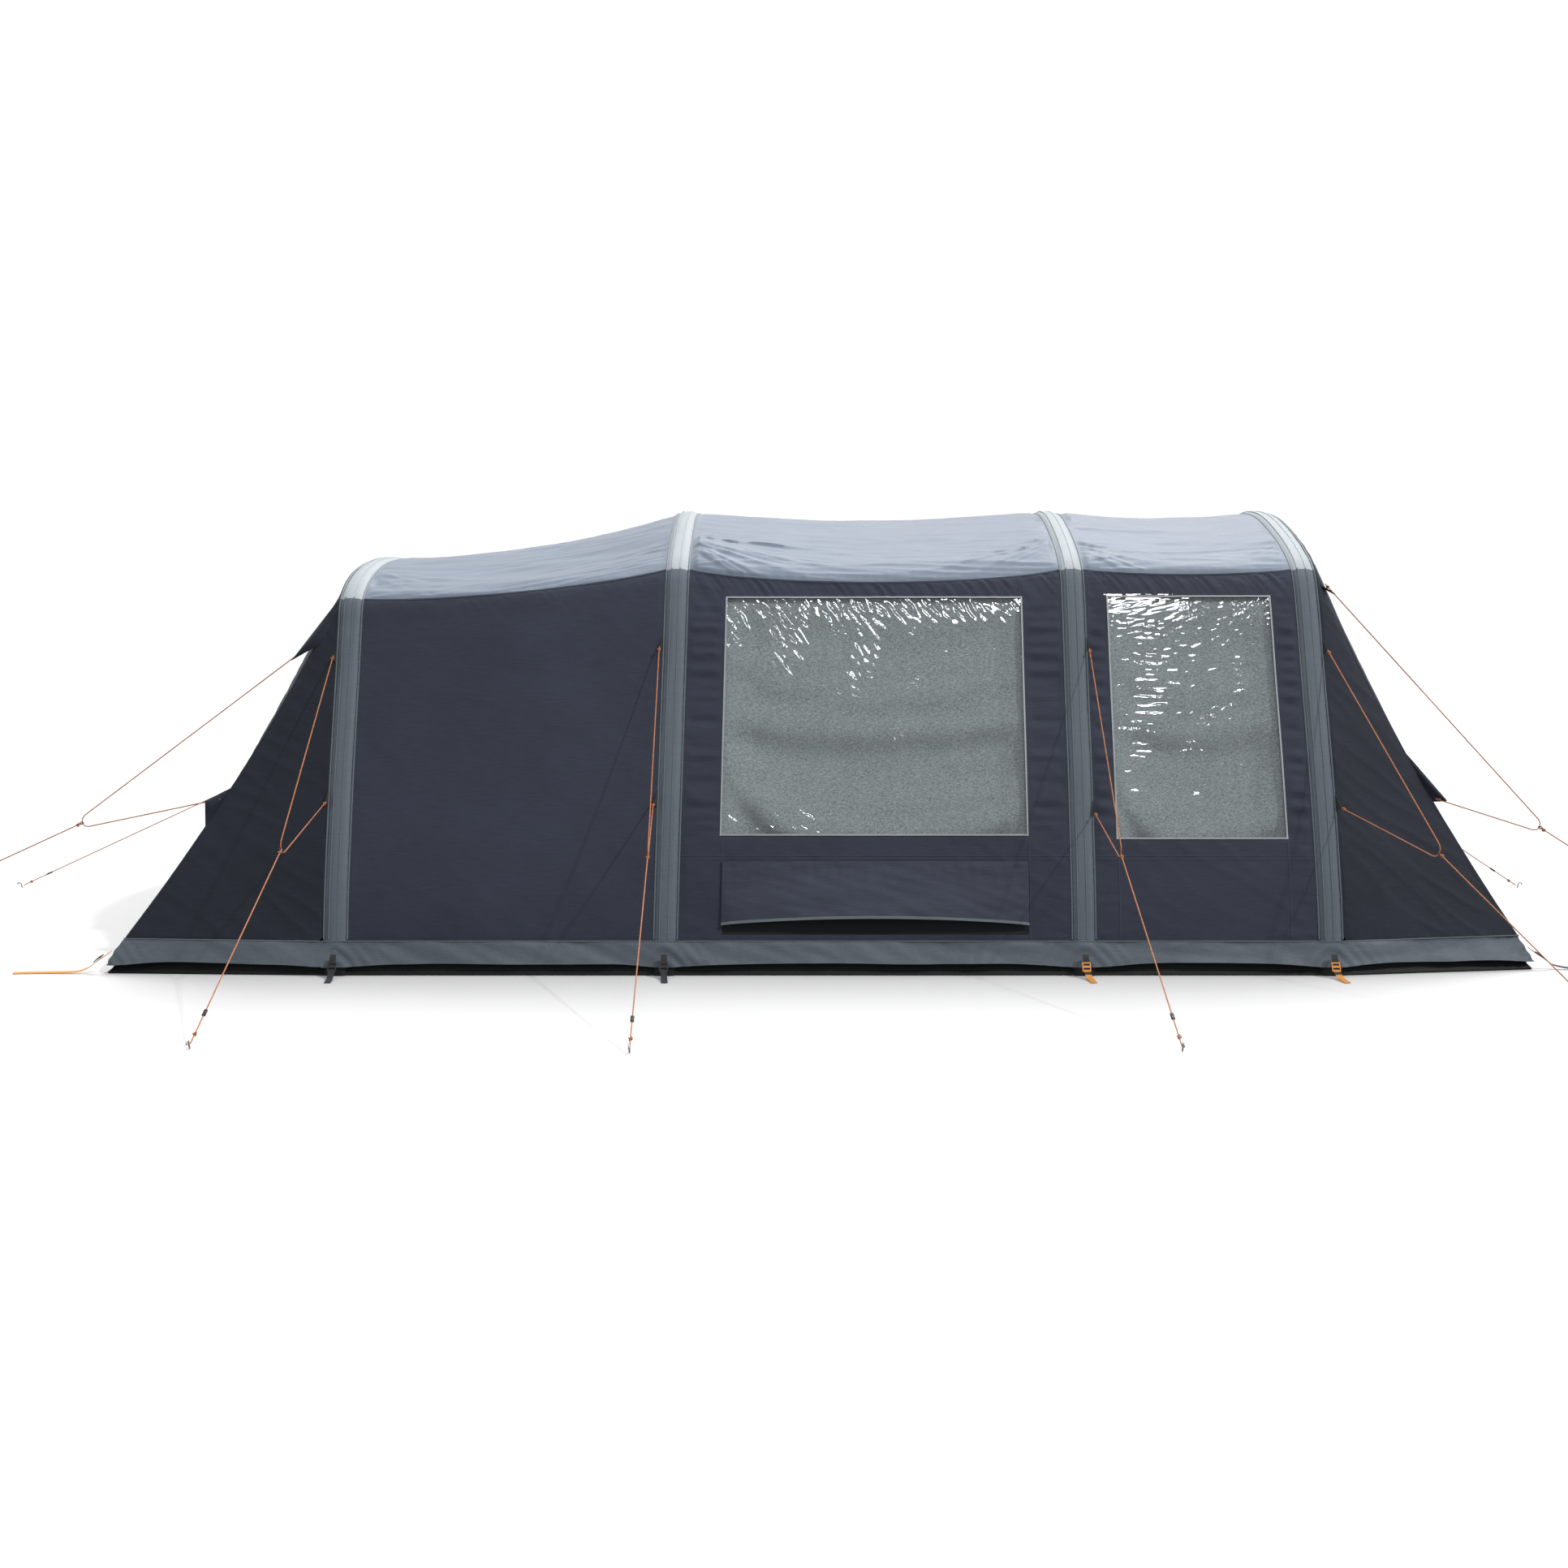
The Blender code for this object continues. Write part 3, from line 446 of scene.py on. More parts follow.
def ribbon(name, points, width_dir, width, thickness, materials):
    """Flat strap along a line of points, width_dir across it."""
    points = np.asarray(points, float)
    tangents = unit(np.gradient(points, axis=0))
    across = unit(np.broadcast_to(np.asarray(width_dir, float), points.shape)
                  - tangents * (tangents * width_dir).sum(-1, keepdims=True))
    out = np.cross(tangents, across)
    corners = [(-0.5, -0.5), (0.5, -0.5), (0.5, 0.5), (-0.5, 0.5)]
    rings = np.stack([points + across * width * a + out * thickness * b for a, b in corners], 1)
    return loft(name, rings, materials)


def join(name, objects):
    """One object of several, keeping their materials."""
    bpy.context.view_layer.update()
    verts, faces, slots, materials = [], [], [], []
    for obj in objects:
        base = len(verts)
        mesh = obj.data
        lookup = []
        for material in mesh.materials:
            if material not in materials:
                materials.append(material)
            lookup.append(materials.index(material))
        verts += [tuple(obj.matrix_world @ v.co) for v in mesh.vertices]
        for face in mesh.polygons:
            faces.append([base + i for i in face.vertices])
            slots.append(lookup[face.material_index])
    mesh = bpy.data.meshes.new(name)
    mesh.from_pydata(verts, [], faces)
    mesh.polygons.foreach_set("material_index", slots)
    mesh.update()
    for obj in objects:
        bpy.data.objects.remove(obj, do_unlink=True)
    return link(name, mesh, materials)


def place(obj, slot, *nodes, body=BODY):
    """Put a piece on its body, in place of the CAD nodes it shows; the slot it is given is not used."""
    if body:
        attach(obj, body)
    if nodes:
        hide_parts(*nodes)
    return obj


# ---------------------------------------------------------------- materials
class Tree:
    """Short hand for building a material's node tree."""

    def __init__(self, name):
        self.material = bpy.data.materials.new(name)
        self.material.use_nodes = True
        self.nodes = self.material.node_tree.nodes
        self.links = self.material.node_tree.links
        self.shader = self.nodes["Principled BSDF"]
        self.output = self.nodes["Material Output"]
        self.coord = self.nodes.new("ShaderNodeTexCoord").outputs["Object"]

    def node(self, kind, inputs=None, **settings):
        node = self.nodes.new(kind)
        for key, value in settings.items():
            setattr(node, key, value)
        for key, value in (inputs or {}).items():
            self.put(node.inputs[key], value)
        return node

    def put(self, socket, value):
        if isinstance(value, bpy.types.NodeSocket):
            self.links.new(value, socket)
        else:
            socket.default_value = value

    def stretched(self, scale):
        return self.node("ShaderNodeMapping", {"Vector": self.coord, "Scale": scale}).outputs["Vector"]

    def noise(self, scale, detail=3.0, roughness=0.5, vector=None, distortion=0.0):
        return self.node("ShaderNodeTexNoise", {
            "Vector": vector or self.coord, "Scale": scale, "Detail": detail, "Roughness": roughness,
            "Distortion": distortion}).outputs["Fac"]

    def bands(self, period, direction, distortion=0.6):
        return self.node("ShaderNodeTexWave", {
            "Vector": self.coord, "Scale": 2 * math.pi / (20 * period), "Distortion": distortion,
            "Detail": 1.0, "Detail Scale": 0.3}, bands_direction=direction).outputs["Fac"]

    def remap(self, value, low, high, to_low, to_high):
        return self.node("ShaderNodeMapRange", {
            "Value": value, "From Min": low, "From Max": high, "To Min": to_low, "To Max": to_high
        }).outputs["Result"]

    def maths(self, operation, a, b):
        return self.node("ShaderNodeMath", {0: a, 1: b}, operation=operation).outputs[0]

    def blend(self, fac, a, b):
        node = self.nodes.new("ShaderNodeMix")
        node.data_type = "RGBA"
        for key, value in ((0, fac), (6, a), (7, b)):
            self.put(node.inputs[key], value)
        return node.outputs[2]

    def shades(self, value, low, high, a, b):
        """Colour from a to b while a value goes from low to high."""
        return self.blend(self.remap(value, low, high, 0.0, 1.0), a, b)

    def bump(self, height, distance, strength=1.0, normal=None):
        inputs = {"Height": height, "Distance": distance, "Strength": strength}
        if normal is not None:
            inputs["Normal"] = normal
        return self.node("ShaderNodeBump", inputs).outputs["Normal"]

    def finish(self, **inputs):
        names = {"base": "Base Color", "rough": "Roughness", "metal": "Metallic", "normal": "Normal",
                 "sheen": "Sheen Weight", "sheen_rough": "Sheen Roughness", "specular": "Specular IOR Level"}
        for key, value in inputs.items():
            self.put(self.shader.inputs[names[key]], value)
        return self.material


YARN_SCALE = {"Z": (18.0, 18.0, 420.0), "Y": (18.0, 420.0, 60.0)}    # yarns' spread, by the weft's axis


def rgba(colour, factor=1.0):
    return tuple(min(c * factor, 1.0) for c in colour) + (1.0,)


def cloth_material(name, colour, across="Z", period=0.0016, rough=0.62, sheen=0.04, mottle=0.10,
                   crumple=0.0012, slub=0.10, specular=0.16):
    """Woven cloth: warp and weft, slubby yarns, cloudy shade and fine crumples."""
    t = Tree(name)
    warp, weft = t.bands(period, "X"), t.bands(period, across)
    weave = t.maths("MULTIPLY", warp, weft)
    yarn = t.noise(1.0, 2.0, vector=t.stretched(YARN_SCALE[across]))
    cloud = t.noise(2.3, 4.0, 0.55)
    crumple_noise = t.noise(26.0, 5.0, 0.6, distortion=0.4)
    shade = t.maths("ADD", t.remap(cloud, 0.3, 0.7, -mottle, mottle), t.remap(yarn, 0.3, 0.7, -slub, slub))
    shade = t.maths("ADD", shade, t.remap(weave, 0.0, 1.0, -0.06, 0.06))
    base = t.shades(shade, -0.25, 0.25, rgba(colour, 0.75), rgba(colour, 1.25))
    normal = t.bump(crumple_noise, crumple)
    normal = t.bump(weave, 0.00025, 0.5, normal)
    roughness = t.remap(cloud, 0.2, 0.8, rough - 0.05, rough + 0.06)
    return t.finish(base=base, rough=roughness, normal=normal, sheen=sheen, sheen_rough=0.5,
                    specular=specular)


def tweed_material(name, colour):
    """Heather-grey curtain cloth: fine light and dark flecks over a coarse weave."""
    t = Tree(name)
    fleck = t.noise(1.0, 2.0, 0.7, vector=t.stretched((75.0, 75.0, 260.0)))
    cross = t.noise(1.0, 2.0, 0.7, vector=t.stretched((230.0, 230.0, 120.0)))
    both = t.maths("ADD", fleck, cross)
    cloud = t.noise(5.0, 3.0)
    base = t.shades(both, 0.72, 1.28, rgba(colour, 0.45), rgba(colour, 1.7))
    base = t.blend(t.remap(cloud, 0.3, 0.7, 0.0, 0.25), base, rgba(colour, 1.2))
    normal = t.bump(t.maths("MULTIPLY", t.bands(0.004, "X"), t.bands(0.004, "Z")), 0.0006, 0.7)
    return t.finish(base=base, rough=t.remap(cloud, 0.3, 0.7, 0.85, 0.95), normal=normal, sheen=0.2,
                    specular=0.2)


def film_material(name):
    """Clear flexible film: what is behind it shows, and it mirrors what it faces."""
    t = Tree(name)
    haze = t.noise(9.0, 5.0, 0.6)
    facing = t.node("ShaderNodeLayerWeight", {"Blend": 0.5}).outputs["Facing"]
    share = t.maths("ADD", t.maths("MULTIPLY", t.maths("POWER", facing, 5.0), 0.9),
                    t.remap(haze, 0.35, 0.75, 0.045, 0.065))
    t.finish(base=t.blend(haze, (0.93, 0.95, 0.97, 1), (1, 1, 1, 1)), metal=1.0,
             rough=t.remap(haze, 0.3, 0.7, 0.03, 0.07),
             normal=t.bump(t.maths("MULTIPLY", t.noise(55.0, 2.0, 0.5, distortion=0.5),
                                   t.remap(t.noise(7.0, 2.0), 0.5, 0.72, 0.0, 1.0)), 0.0022, 1.0))
    clear = t.node("ShaderNodeBsdfTransparent", {"Color": (0.95, 0.96, 0.97, 1)})
    mixer = t.node("ShaderNodeMixShader", {0: share, 1: clear.outputs[0], 2: t.shader.outputs[0]})
    t.links.new(mixer.outputs[0], t.output.inputs["Surface"])
    return t.material


def mesh_material(name, colour):
    """Knitted insect mesh: a fine open grid."""
    t = Tree(name)
    grid = t.maths("MAXIMUM", t.bands(0.003, "X", 0.1), t.bands(0.003, "Z", 0.1))
    base = t.blend(grid, rgba(colour, 0.3), rgba(colour, 1.6))
    return t.finish(base=base, rough=t.remap(grid, 0, 1, 0.95, 0.7), normal=t.bump(grid, 0.0006, 0.8),
                    specular=0.2)


def cord_material(name, colour):
    """Braided cord: slanted plaits with a darker fleck now and then."""
    t = Tree(name)
    plait = t.node("ShaderNodeTexVoronoi", {"Vector": t.coord, "Scale": 520.0}).outputs["Distance"]
    fleck = t.noise(90.0, 2.0)
    base = t.shades(plait, 0.1, 0.7, rgba(colour, 1.15), rgba(colour, 0.62))
    base = t.blend(t.remap(fleck, 0.60, 0.68, 0.0, 0.55), base, rgba((0.05, 0.045, 0.04)))
    return t.finish(base=base, rough=t.remap(plait, 0, 1, 0.55, 0.8), normal=t.bump(plait, 0.0005, 0.8),
                    sheen=0.2)


def webbing_material(name, colour):
    """Woven strap: ribs across its run and a slightly uneven dye."""
    t = Tree(name)
    ribs = t.maths("MAXIMUM", t.bands(0.0026, "Z", 1.0), t.bands(0.0026, "X", 1.0))
    cloud = t.noise(60.0, 3.0)
    shade = t.maths("ADD", t.maths("MULTIPLY", ribs, 0.5), t.maths("MULTIPLY", cloud, 0.5))
    base = t.shades(shade, 0.2, 0.8, rgba(colour, 0.65), rgba(colour, 1.25))
    return t.finish(base=base, rough=t.remap(cloud, 0.3, 0.7, 0.6, 0.8), normal=t.bump(ribs, 0.0005, 0.8),
                    sheen=0.15)


def plastic_material(name, colour, rough=0.38):
    """Moulded plastic: a fine spark-eroded grain and rubbed, lighter patches."""
    t = Tree(name)
    grain, wear = t.noise(900.0, 2.0), t.noise(45.0, 4.0)
    rubbed = rgba(tuple(c + 0.03 for c in colour))
    base = t.blend(t.remap(wear, 0.45, 0.7, 0.0, 0.5), rgba(colour), rubbed)
    return t.finish(base=base, rough=t.remap(wear, 0.3, 0.7, rough - 0.08, rough + 0.12),
                    normal=t.bump(grain, 0.0001, 0.5))


def steel_material(name):
    """Bright zinc-plated wire with dull patches."""
    t = Tree(name)
    dull = t.noise(70.0, 4.0)
    base = t.shades(dull, 0.35, 0.7, (0.62, 0.62, 0.63, 1), (0.36, 0.36, 0.37, 1))
    return t.finish(base=base, metal=1.0, rough=t.remap(dull, 0.3, 0.7, 0.28, 0.5),
                    normal=t.bump(t.noise(500.0), 0.0001, 0.5))


def floor_material(name):
    """Pale, almost even ground."""
    t = Tree(name)
    cloud = t.noise(0.35, 2.0)
    base = t.blend(cloud, (0.82, 0.82, 0.825, 1), (0.84, 0.84, 0.84, 1))
    return t.finish(base=base, rough=t.remap(cloud, 0.3, 0.7, 0.85, 0.9), specular=0.1)


NAVY = cloth_material("wall_navy", (0.046, 0.053, 0.079))
NAVY_LIGHT = cloth_material("band_navy", (0.058, 0.066, 0.095))
END_NAVY = cloth_material("end_navy", (0.028, 0.032, 0.047))
ROOF = cloth_material("roof_slate", (0.232, 0.280, 0.360), across="Y", rough=0.5, sheen=0.25, mottle=0.05,
                      slub=0.04, specular=0.3)
SLEEVE_GREY = cloth_material("sleeve_grey", (0.138, 0.165, 0.200), rough=0.55, mottle=0.06, slub=0.05,
                             specular=0.25)
SLEEVE_PALE = cloth_material("sleeve_pale", (0.50, 0.55, 0.58), across="Y", rough=0.55, mottle=0.04,
                             slub=0.04, sheen=0.05, specular=0.2)
PIPING_GREY = cloth_material("piping_grey", (0.17, 0.20, 0.22), mottle=0.05)
PIPING_PALE = cloth_material("piping_pale", (0.34, 0.38, 0.40), across="Y", mottle=0.05)
SKIRT_GREY = cloth_material("skirt_grey", (0.130, 0.155, 0.184), rough=0.5, mottle=0.10, specular=0.3,
                            crumple=0.0025)
TRAY_BLACK = cloth_material("groundsheet_black", (0.012, 0.013, 0.014), across="Y", rough=0.5,
                            specular=0.2, crumple=0.002)
CURTAIN = tweed_material("curtain_tweed", (0.30, 0.33, 0.33))
FILM = film_material("window_film")
WELD = cloth_material("weld_tape", (0.40, 0.43, 0.45), period=0.003, rough=0.4, specular=0.6)
MESH = mesh_material("vent_mesh", (0.02, 0.022, 0.026))
BEDROOM = cloth_material("bedroom_cloth", (0.46, 0.48, 0.50), rough=0.85, sheen=0.3, specular=0.2)
ORANGE = cord_material("cord_orange", (0.72, 0.24, 0.075))
STRAP_ORANGE = webbing_material("strap_orange", (0.80, 0.32, 0.04))
STRAP_BLACK = webbing_material("strap_black", (0.020, 0.021, 0.024))
BLACK_PLASTIC = plastic_material("moulded_black", (0.018, 0.018, 0.020))
ORANGE_PLASTIC = plastic_material("moulded_orange", (0.70, 0.27, 0.04))
STEEL = steel_material("zinc_steel")
BLADDER = plastic_material("air_bladder", (0.28, 0.28, 0.30), rough=0.45)


# ---------------------------------------------------------------- camera
CAMERA_PLACE = (-0.1755, -9.8, 1.42)
CAMERA_PITCH = 4.12                          # degrees below level
FOCAL_SHARE = 2360 / 1932                    # focal length over the width of the view
SENSOR = 36.0


def camera():
    """Camera fitted to the reference view."""
    data = bpy.data.cameras.new("camera")
    data.sensor_width = SENSOR
    data.lens = SENSOR * FOCAL_SHARE
    data.clip_end = 200
    obj = add("camera", data)
    obj.location = CAMERA_PLACE
    obj.rotation_euler = (math.radians(90 - CAMERA_PITCH), 0, 0)
    bpy.context.scene.camera = obj


# ---------------------------------------------------------------- guy lines
UP = Vector((0, 0, 1))
BEND_STEPS = 4
LEG_STEP, TAIL_STEP = 0.045, 0.055           # spacing of the cords' points
TIE_KNOT, TAIL_KNOT = 0.012, 0.013           # sizes of the knots
KNOT_POINTS = 37
KNOT_CORD = 0.42                             # radius of a knot's cord over the cord's thickness
RING_RADIUS, RING_WIRE = 0.0085, 0.0018
BORE = 0.0032
RUNNER_SIZE = (0.007, 0.0046)                # half width and half depth
# Ribs of a runner's upper half: distance from its middle, and share of its full size.
RUNNER_RIBS = [(0.008, 1.0), (0.0065, 0.86), (0.0035, 0.86), (0.002, 1.0)]
KNOT_FROM_TIE, KNOT_FROM_RING, KNOT_FROM_PEG = 0.018, 0.022, 0.050
PEG_RADIUS = 0.0032
PEG_HOOK = 0.011
PATCH_HALF = 0.045
PATCH_CLOTH = 0.0022


def vectors(key, far):
    """Upper tie, lower tie, ring and peg of a guy line."""
    upper, lower, ring, peg = GUYS[key]
    return [Vector((p[0], p[1] * (-1 if far else 1), p[2])) for p in (upper, lower, ring, (*peg, PEG_HEIGHT))]


def rounded_corner(start, corner, end):
    """Points of the bend where a guy's legs pass through its ring."""
    a, b = (start - corner).normalized(), (end - corner).normalized()
    half = a.angle(b) / 2
    centre = corner + (a + b).normalized() * (RING_BEND / math.sin(half))
    first, last = (corner + leg * (RING_BEND / math.tan(half)) - centre for leg in (a, b))
    return [centre + first.slerp(last, i / BEND_STEPS).normalized() * RING_BEND
            for i in range(BEND_STEPS + 1)]


def spaced(points, step):
    """The points of a line, with more of them along its long straight runs."""
    result = [points[0]]
    for a, b in zip(points, points[1:]):
        count = max(1, round((b - a).length / step))
        result += [a.lerp(b, i / count) for i in range(1, count + 1)]
    return result


def length_of(points):
    return sum((b - a).length for a, b in zip(points, points[1:]))


def cord_curve(name, points):
    curve = bpy.data.curves.new(name, "CURVE")
    curve.dimensions = "3D"
    curve.bevel_depth = CORD / 2
    curve.bevel_resolution = 3
    curve.use_fill_caps = True
    spline = curve.splines.new("POLY")
    spline.points.add(len(points) - 1)
    for target, point in zip(spline.points, points):
        target.co = (*point, 1.0)
    spline.use_smooth = True
    curve.materials.append(ORANGE)
    return add(name, curve)


def axes_along(along):
    along = Vector(along).normalized()
    side = along.cross(UP).normalized()
    return along, side, side.cross(along).normalized()


def knot(name, centre, along, size):
    """Overhand knot: a trefoil of cord pulled tight along the line."""
    along, side, up = axes_along(along)
    points = []
    for i in range(KNOT_POINTS):
        t = ROUND * i / KNOT_POINTS
        across = side * ((math.sin(t) + 2 * math.sin(2 * t)) * 0.75)
        lift = up * ((math.cos(t) - 2 * math.cos(2 * t)) * 0.75)
        points.append(centre + (across + lift - along * math.sin(3 * t) * 1.6) * (size / 4))
    points = np.array(points)
    tangents = unit(np.roll(points, -1, 0) - np.roll(points, 1, 0))
    out = unit(np.cross(tangents, np.array(along)))
    rings = round_rings(points, out, np.cross(out, tangents), CORD * KNOT_CORD, 8)
    return loft(name, rings, [ORANGE], closed=True)


def guy_ring(name, centre, normal):
    """Round ring of wire between a guy's legs and its tail."""
    normal = Vector(normal).normalized()
    a = normal.orthogonal().normalized()
    b = normal.cross(a)
    rings = []
    for i in range(28):
        t = ROUND * i / 28
        spoke = a * math.cos(t) + b * math.sin(t)
        rings.append([centre + spoke * (RING_RADIUS + RING_WIRE * math.cos(s))
                      + normal * (RING_WIRE * math.sin(s))
                      for s in np.linspace(0, ROUND, 8, endpoint=False)])
    return loft(name, rings, [BLACK_PLASTIC], closed=True)


def signed_power(value, power):
    return math.copysign(abs(value) ** power, value)


def runner(name, centre, along):
    """Ribbed line slider, bored along its length for the cord."""
    along, side, up = axes_along(along)
    half = RUNNER_LENGTH / 2
    angles = np.linspace(0, ROUND, 20, endpoint=False)

    def section(x, wide, deep, power):
        return [centre + along * x + side * (wide * signed_power(math.cos(s), power))
                + up * (deep * signed_power(math.sin(s), power)) for s in angles]

    ends = [(half, 0.70), (half - 0.0015, 0.95)]
    outside = [(-x, share) for x, share in ends + RUNNER_RIBS] + (ends + RUNNER_RIBS)[::-1]
    rings = [section(x, RUNNER_SIZE[0] * share, RUNNER_SIZE[1] * share, 0.6) for x, share in outside]
    mouth = BORE + 0.0006
    rings += [section(x, radius, radius, 1.0)
              for x, radius in ((half, mouth), (half * 0.9, BORE), (-half * 0.9, BORE), (-half, mouth))]
    return loft(name, rings, [BLACK_PLASTIC], closed=True)


def peg(name, spot, along):
    """Steel rod peg: its hooked head above the ground, leaning away from the tent."""
    flat = Vector((along.x, along.y, 0)).normalized()        # towards the tent
    base = Vector((spot.x, spot.y, 0.0)) - flat * 0.010
    lean = (UP - flat * 0.25).normalized()
    top = base + lean * 0.026
    hook = [top - flat * (PEG_HOOK * (1 - math.cos(t))) + UP * (PEG_HOOK * math.sin(t))
            for t in np.linspace(0.3, math.pi * 1.05, 9)]
    return tube(name, [base + UP * 0.0045, base + lean * 0.014, top, *hook], PEG_RADIUS, [STEEL])


def tie_patch(name, key, upper, far):
    """Doubled triangle of webbing sewn to the sleeve's edge where a leg of the guy is tied."""
    up, low, ring, _ = vectors(key, far)
    tie = up if upper else low
    beam = int(key[-1]) - 1
    v = np.array(height_to_v(tie.z + 0.03, far))
    edge = Vector(beam_point(beam, v, sign_of(tie.x > BEAM_X[beam]) * (SLEEVE_HALF_WIDTH - 0.004)))
    tangent, outward = (Vector(a) for a in beam_frame(beam, v))
    if tangent.z < 0:
        tangent = -tangent
    edge = edge - outward * 0.014
    corners = [edge + tangent * PATCH_HALF, edge - tangent * PATCH_HALF]
    tip = tie + (ring - tie).normalized() * 0.004
    rows = []
    for t in np.linspace(0, 1, 7):
        a, b = corners[0].lerp(tip, t), corners[1].lerp(tip, t)
        half = max((a - b).length, 0.010) / 2
        rows.append([(a + b) / 2 + tangent * half * w for w in np.linspace(1, -1, 5)])
    return sheet(name, np.array(rows), PATCH_CLOTH, [STRAP_BLACK])


def guy_line(key, far):
    """Y-shaped guy: a loop of cord through two ties and a ring, and a tail to the peg with its slider."""
    where = f"{key}_{side_of(far)}"
    node = f"guy_line_{where}"
    upper, lower, ring, end = vectors(key, far)
    legs = [upper, *rounded_corner(upper, ring, lower), lower]
    bend = legs[1 + BEND_STEPS // 2]
    legs, tail = spaced(legs, LEG_STEP), spaced([bend, end], TAIL_STEP)
    along = (end - bend).normalized()

    knots = [knot("tie", tie + (ring - tie).normalized() * KNOT_FROM_TIE, ring - tie, TIE_KNOT)
             for tie in (upper, lower)]
    tie_knots = place(join(f"guy_tie_knots_{where}", knots), "cord")
    eye = place(guy_ring(f"guy_ring_{where}", bend + along * 0.004, along.orthogonal()), "runner")
    ends = [knot("ring", bend + along * KNOT_FROM_RING, along, TIE_KNOT),
            knot("peg", end - along * KNOT_FROM_PEG, along, TAIL_KNOT)]
    end_knots = place(join(f"guy_tail_knots_{where}", ends), "cord")
    hook = place(peg(f"peg_{where}", end, -along), "runner")

    leg_piece = place(cord_curve(f"guy_legs_{where}", legs), "cord", node)
    tuple(upper)
    round(length_of(legs), 3)
    tail_piece = place(cord_curve(f"guy_tail_{where}", tail), "cord", node)
    tuple(bend)
    round(length_of(tail), 3)

    slider = f"guy_runner_{where}"
    place(runner(f"line_slider_{where}", end - along * RUNNER_FROM_PEG, along), "runner", slider,
          body=slider)
    if key.startswith("beam"):
        for name, is_upper in (("upper", True), ("lower", False)):
            place(tie_patch(f"tie_patch_{where}_{name}", key, is_upper, far), "sleeve")


# ---------------------------------------------------------------- air beams and sleeves
SLEEVE_SQUARE = 3.0                          # power of the section's superellipse; 2 is round
SLEEVE_AROUND = 56
SLEEVE_WALL = 0.003
PALE_FROM, BLACK_TO = SEAM - 0.05, 0.13      # arch parameters where the sleeve's cloth changes
PIPING_LOW = 0.42                            # arch parameter where the piping comes out of the skirt
PIPING_RADIUS = 0.0036
SLEEVE_TAPES = (-0.026, 0.012)               # x from the beam's middle


def beam_rings(k, v, half_width, half_depth, squareness, around, swell=None):
    """Sections of a beam or sleeve, centred half a sleeve below the beam's outline, flat on the ground."""
    tangent, outward = beam_frame(k, v)
    centre = beam_point(k, v) - outward * SLEEVE_HALF_DEPTH
    angle = np.linspace(0, 2 * np.pi, around, endpoint=False) + np.pi / around
    c, s = np.cos(angle), np.sin(angle)
    radius = (np.abs(c) ** squareness + np.abs(s) ** squareness) ** (-1 / squareness)
    grow = np.zeros((len(v), around)) if swell is None else swell(arc(v)[:, None], angle[None, :])
    wide = (half_width + grow) * (radius * c)
    deep = (half_depth + grow) * (radius * s)
    rings = centre[:, None] + outward[:, None] * deep[..., None]
    rings[..., 0] += wide
    for i in (0, -1):
        rings[i] -= tangent[i] * (rings[i, :, 2:] / tangent[i, 2])
    rings[..., 2] = np.maximum(rings[..., 2], 0.0004)
    return rings


def beam_stations(spacing):
    return np.interp(np.linspace(0, ARC_TABLE[-1], round(ARC_TABLE[-1] / spacing)), ARC_TABLE, V_TABLE)


def air_beam(k):
    rings = beam_rings(k, beam_stations(0.05), BEAM_RADIUS, BEAM_RADIUS, 2.0, 24)
    place(loft(f"air_tube_{k + 1}", rings, [BLADDER]), "air_beam", f"air_beam_{k + 1}")


def sleeve_swell(k):
    """Cloth of a sleeve: lengthwise seams, and slanted puckers where it turns inwards to its seams."""
    def swell(s, angle):
        side = np.cos(angle)
        top = np.sin(angle) > 0
        pull = np.abs(side) ** 3
        slanted = waves(s, side * 0.06, 35, 0.07, 0.016, 40 + k) * (0.25 + 0.75 * pull)
        long_fold = waves(s, side * 0.08, 3, 0.6, 0.03, 60 + k)
        return np.where(top, 0.0016 * slanted + 0.0012 * long_fold, 0.0)
    return swell


def sleeve(k):
    """Two-layer tube of cloth: black at the foot, grey up the legs, pale above the shoulder seams."""
    v = beam_stations(0.014)
    outer, inner = (beam_rings(k, v, SLEEVE_HALF_WIDTH - wall, SLEEVE_HALF_DEPTH - wall, SLEEVE_SQUARE,
                               SLEEVE_AROUND, swell)
                    for wall, swell in ((0.0, sleeve_swell(k)), (SLEEVE_WALL, None)))
    part = np.where(over_of(v) > PALE_FROM, 1, np.where(over_of(v) < BLACK_TO, 2, 0))
    slots = np.concatenate([part, part[::-1]])
    piece = loft(f"sleeve_{k + 1}", np.concatenate([outer, inner[::-1]]),
                 [SLEEVE_GREY, SLEEVE_PALE, TRAY_BLACK], closed=True, slots=slots)
    place(piece, "sleeve", f"beam_sleeve_{k + 1}")


def beam_edge(k, side, v, depth):
    """Line along a sleeve's side, where a panel is sewn to it."""
    return beam_point(k, v, side * (SLEEVE_HALF_WIDTH - 0.005)) - beam_frame(k, v)[1] * depth


def arch_runs(crown):
    """Stations along a beam's legs and crown, with their materials."""
    for low, high, material in ((PIPING_LOW, SEAM, PIPING_GREY), (SEAM, FAR_FOOT - SEAM, crown),
                                (FAR_FOOT - SEAM, FAR_FOOT - PIPING_LOW, PIPING_GREY)):
        yield np.linspace(low, high, round((arc(high) - arc(low)) / 0.03)), material


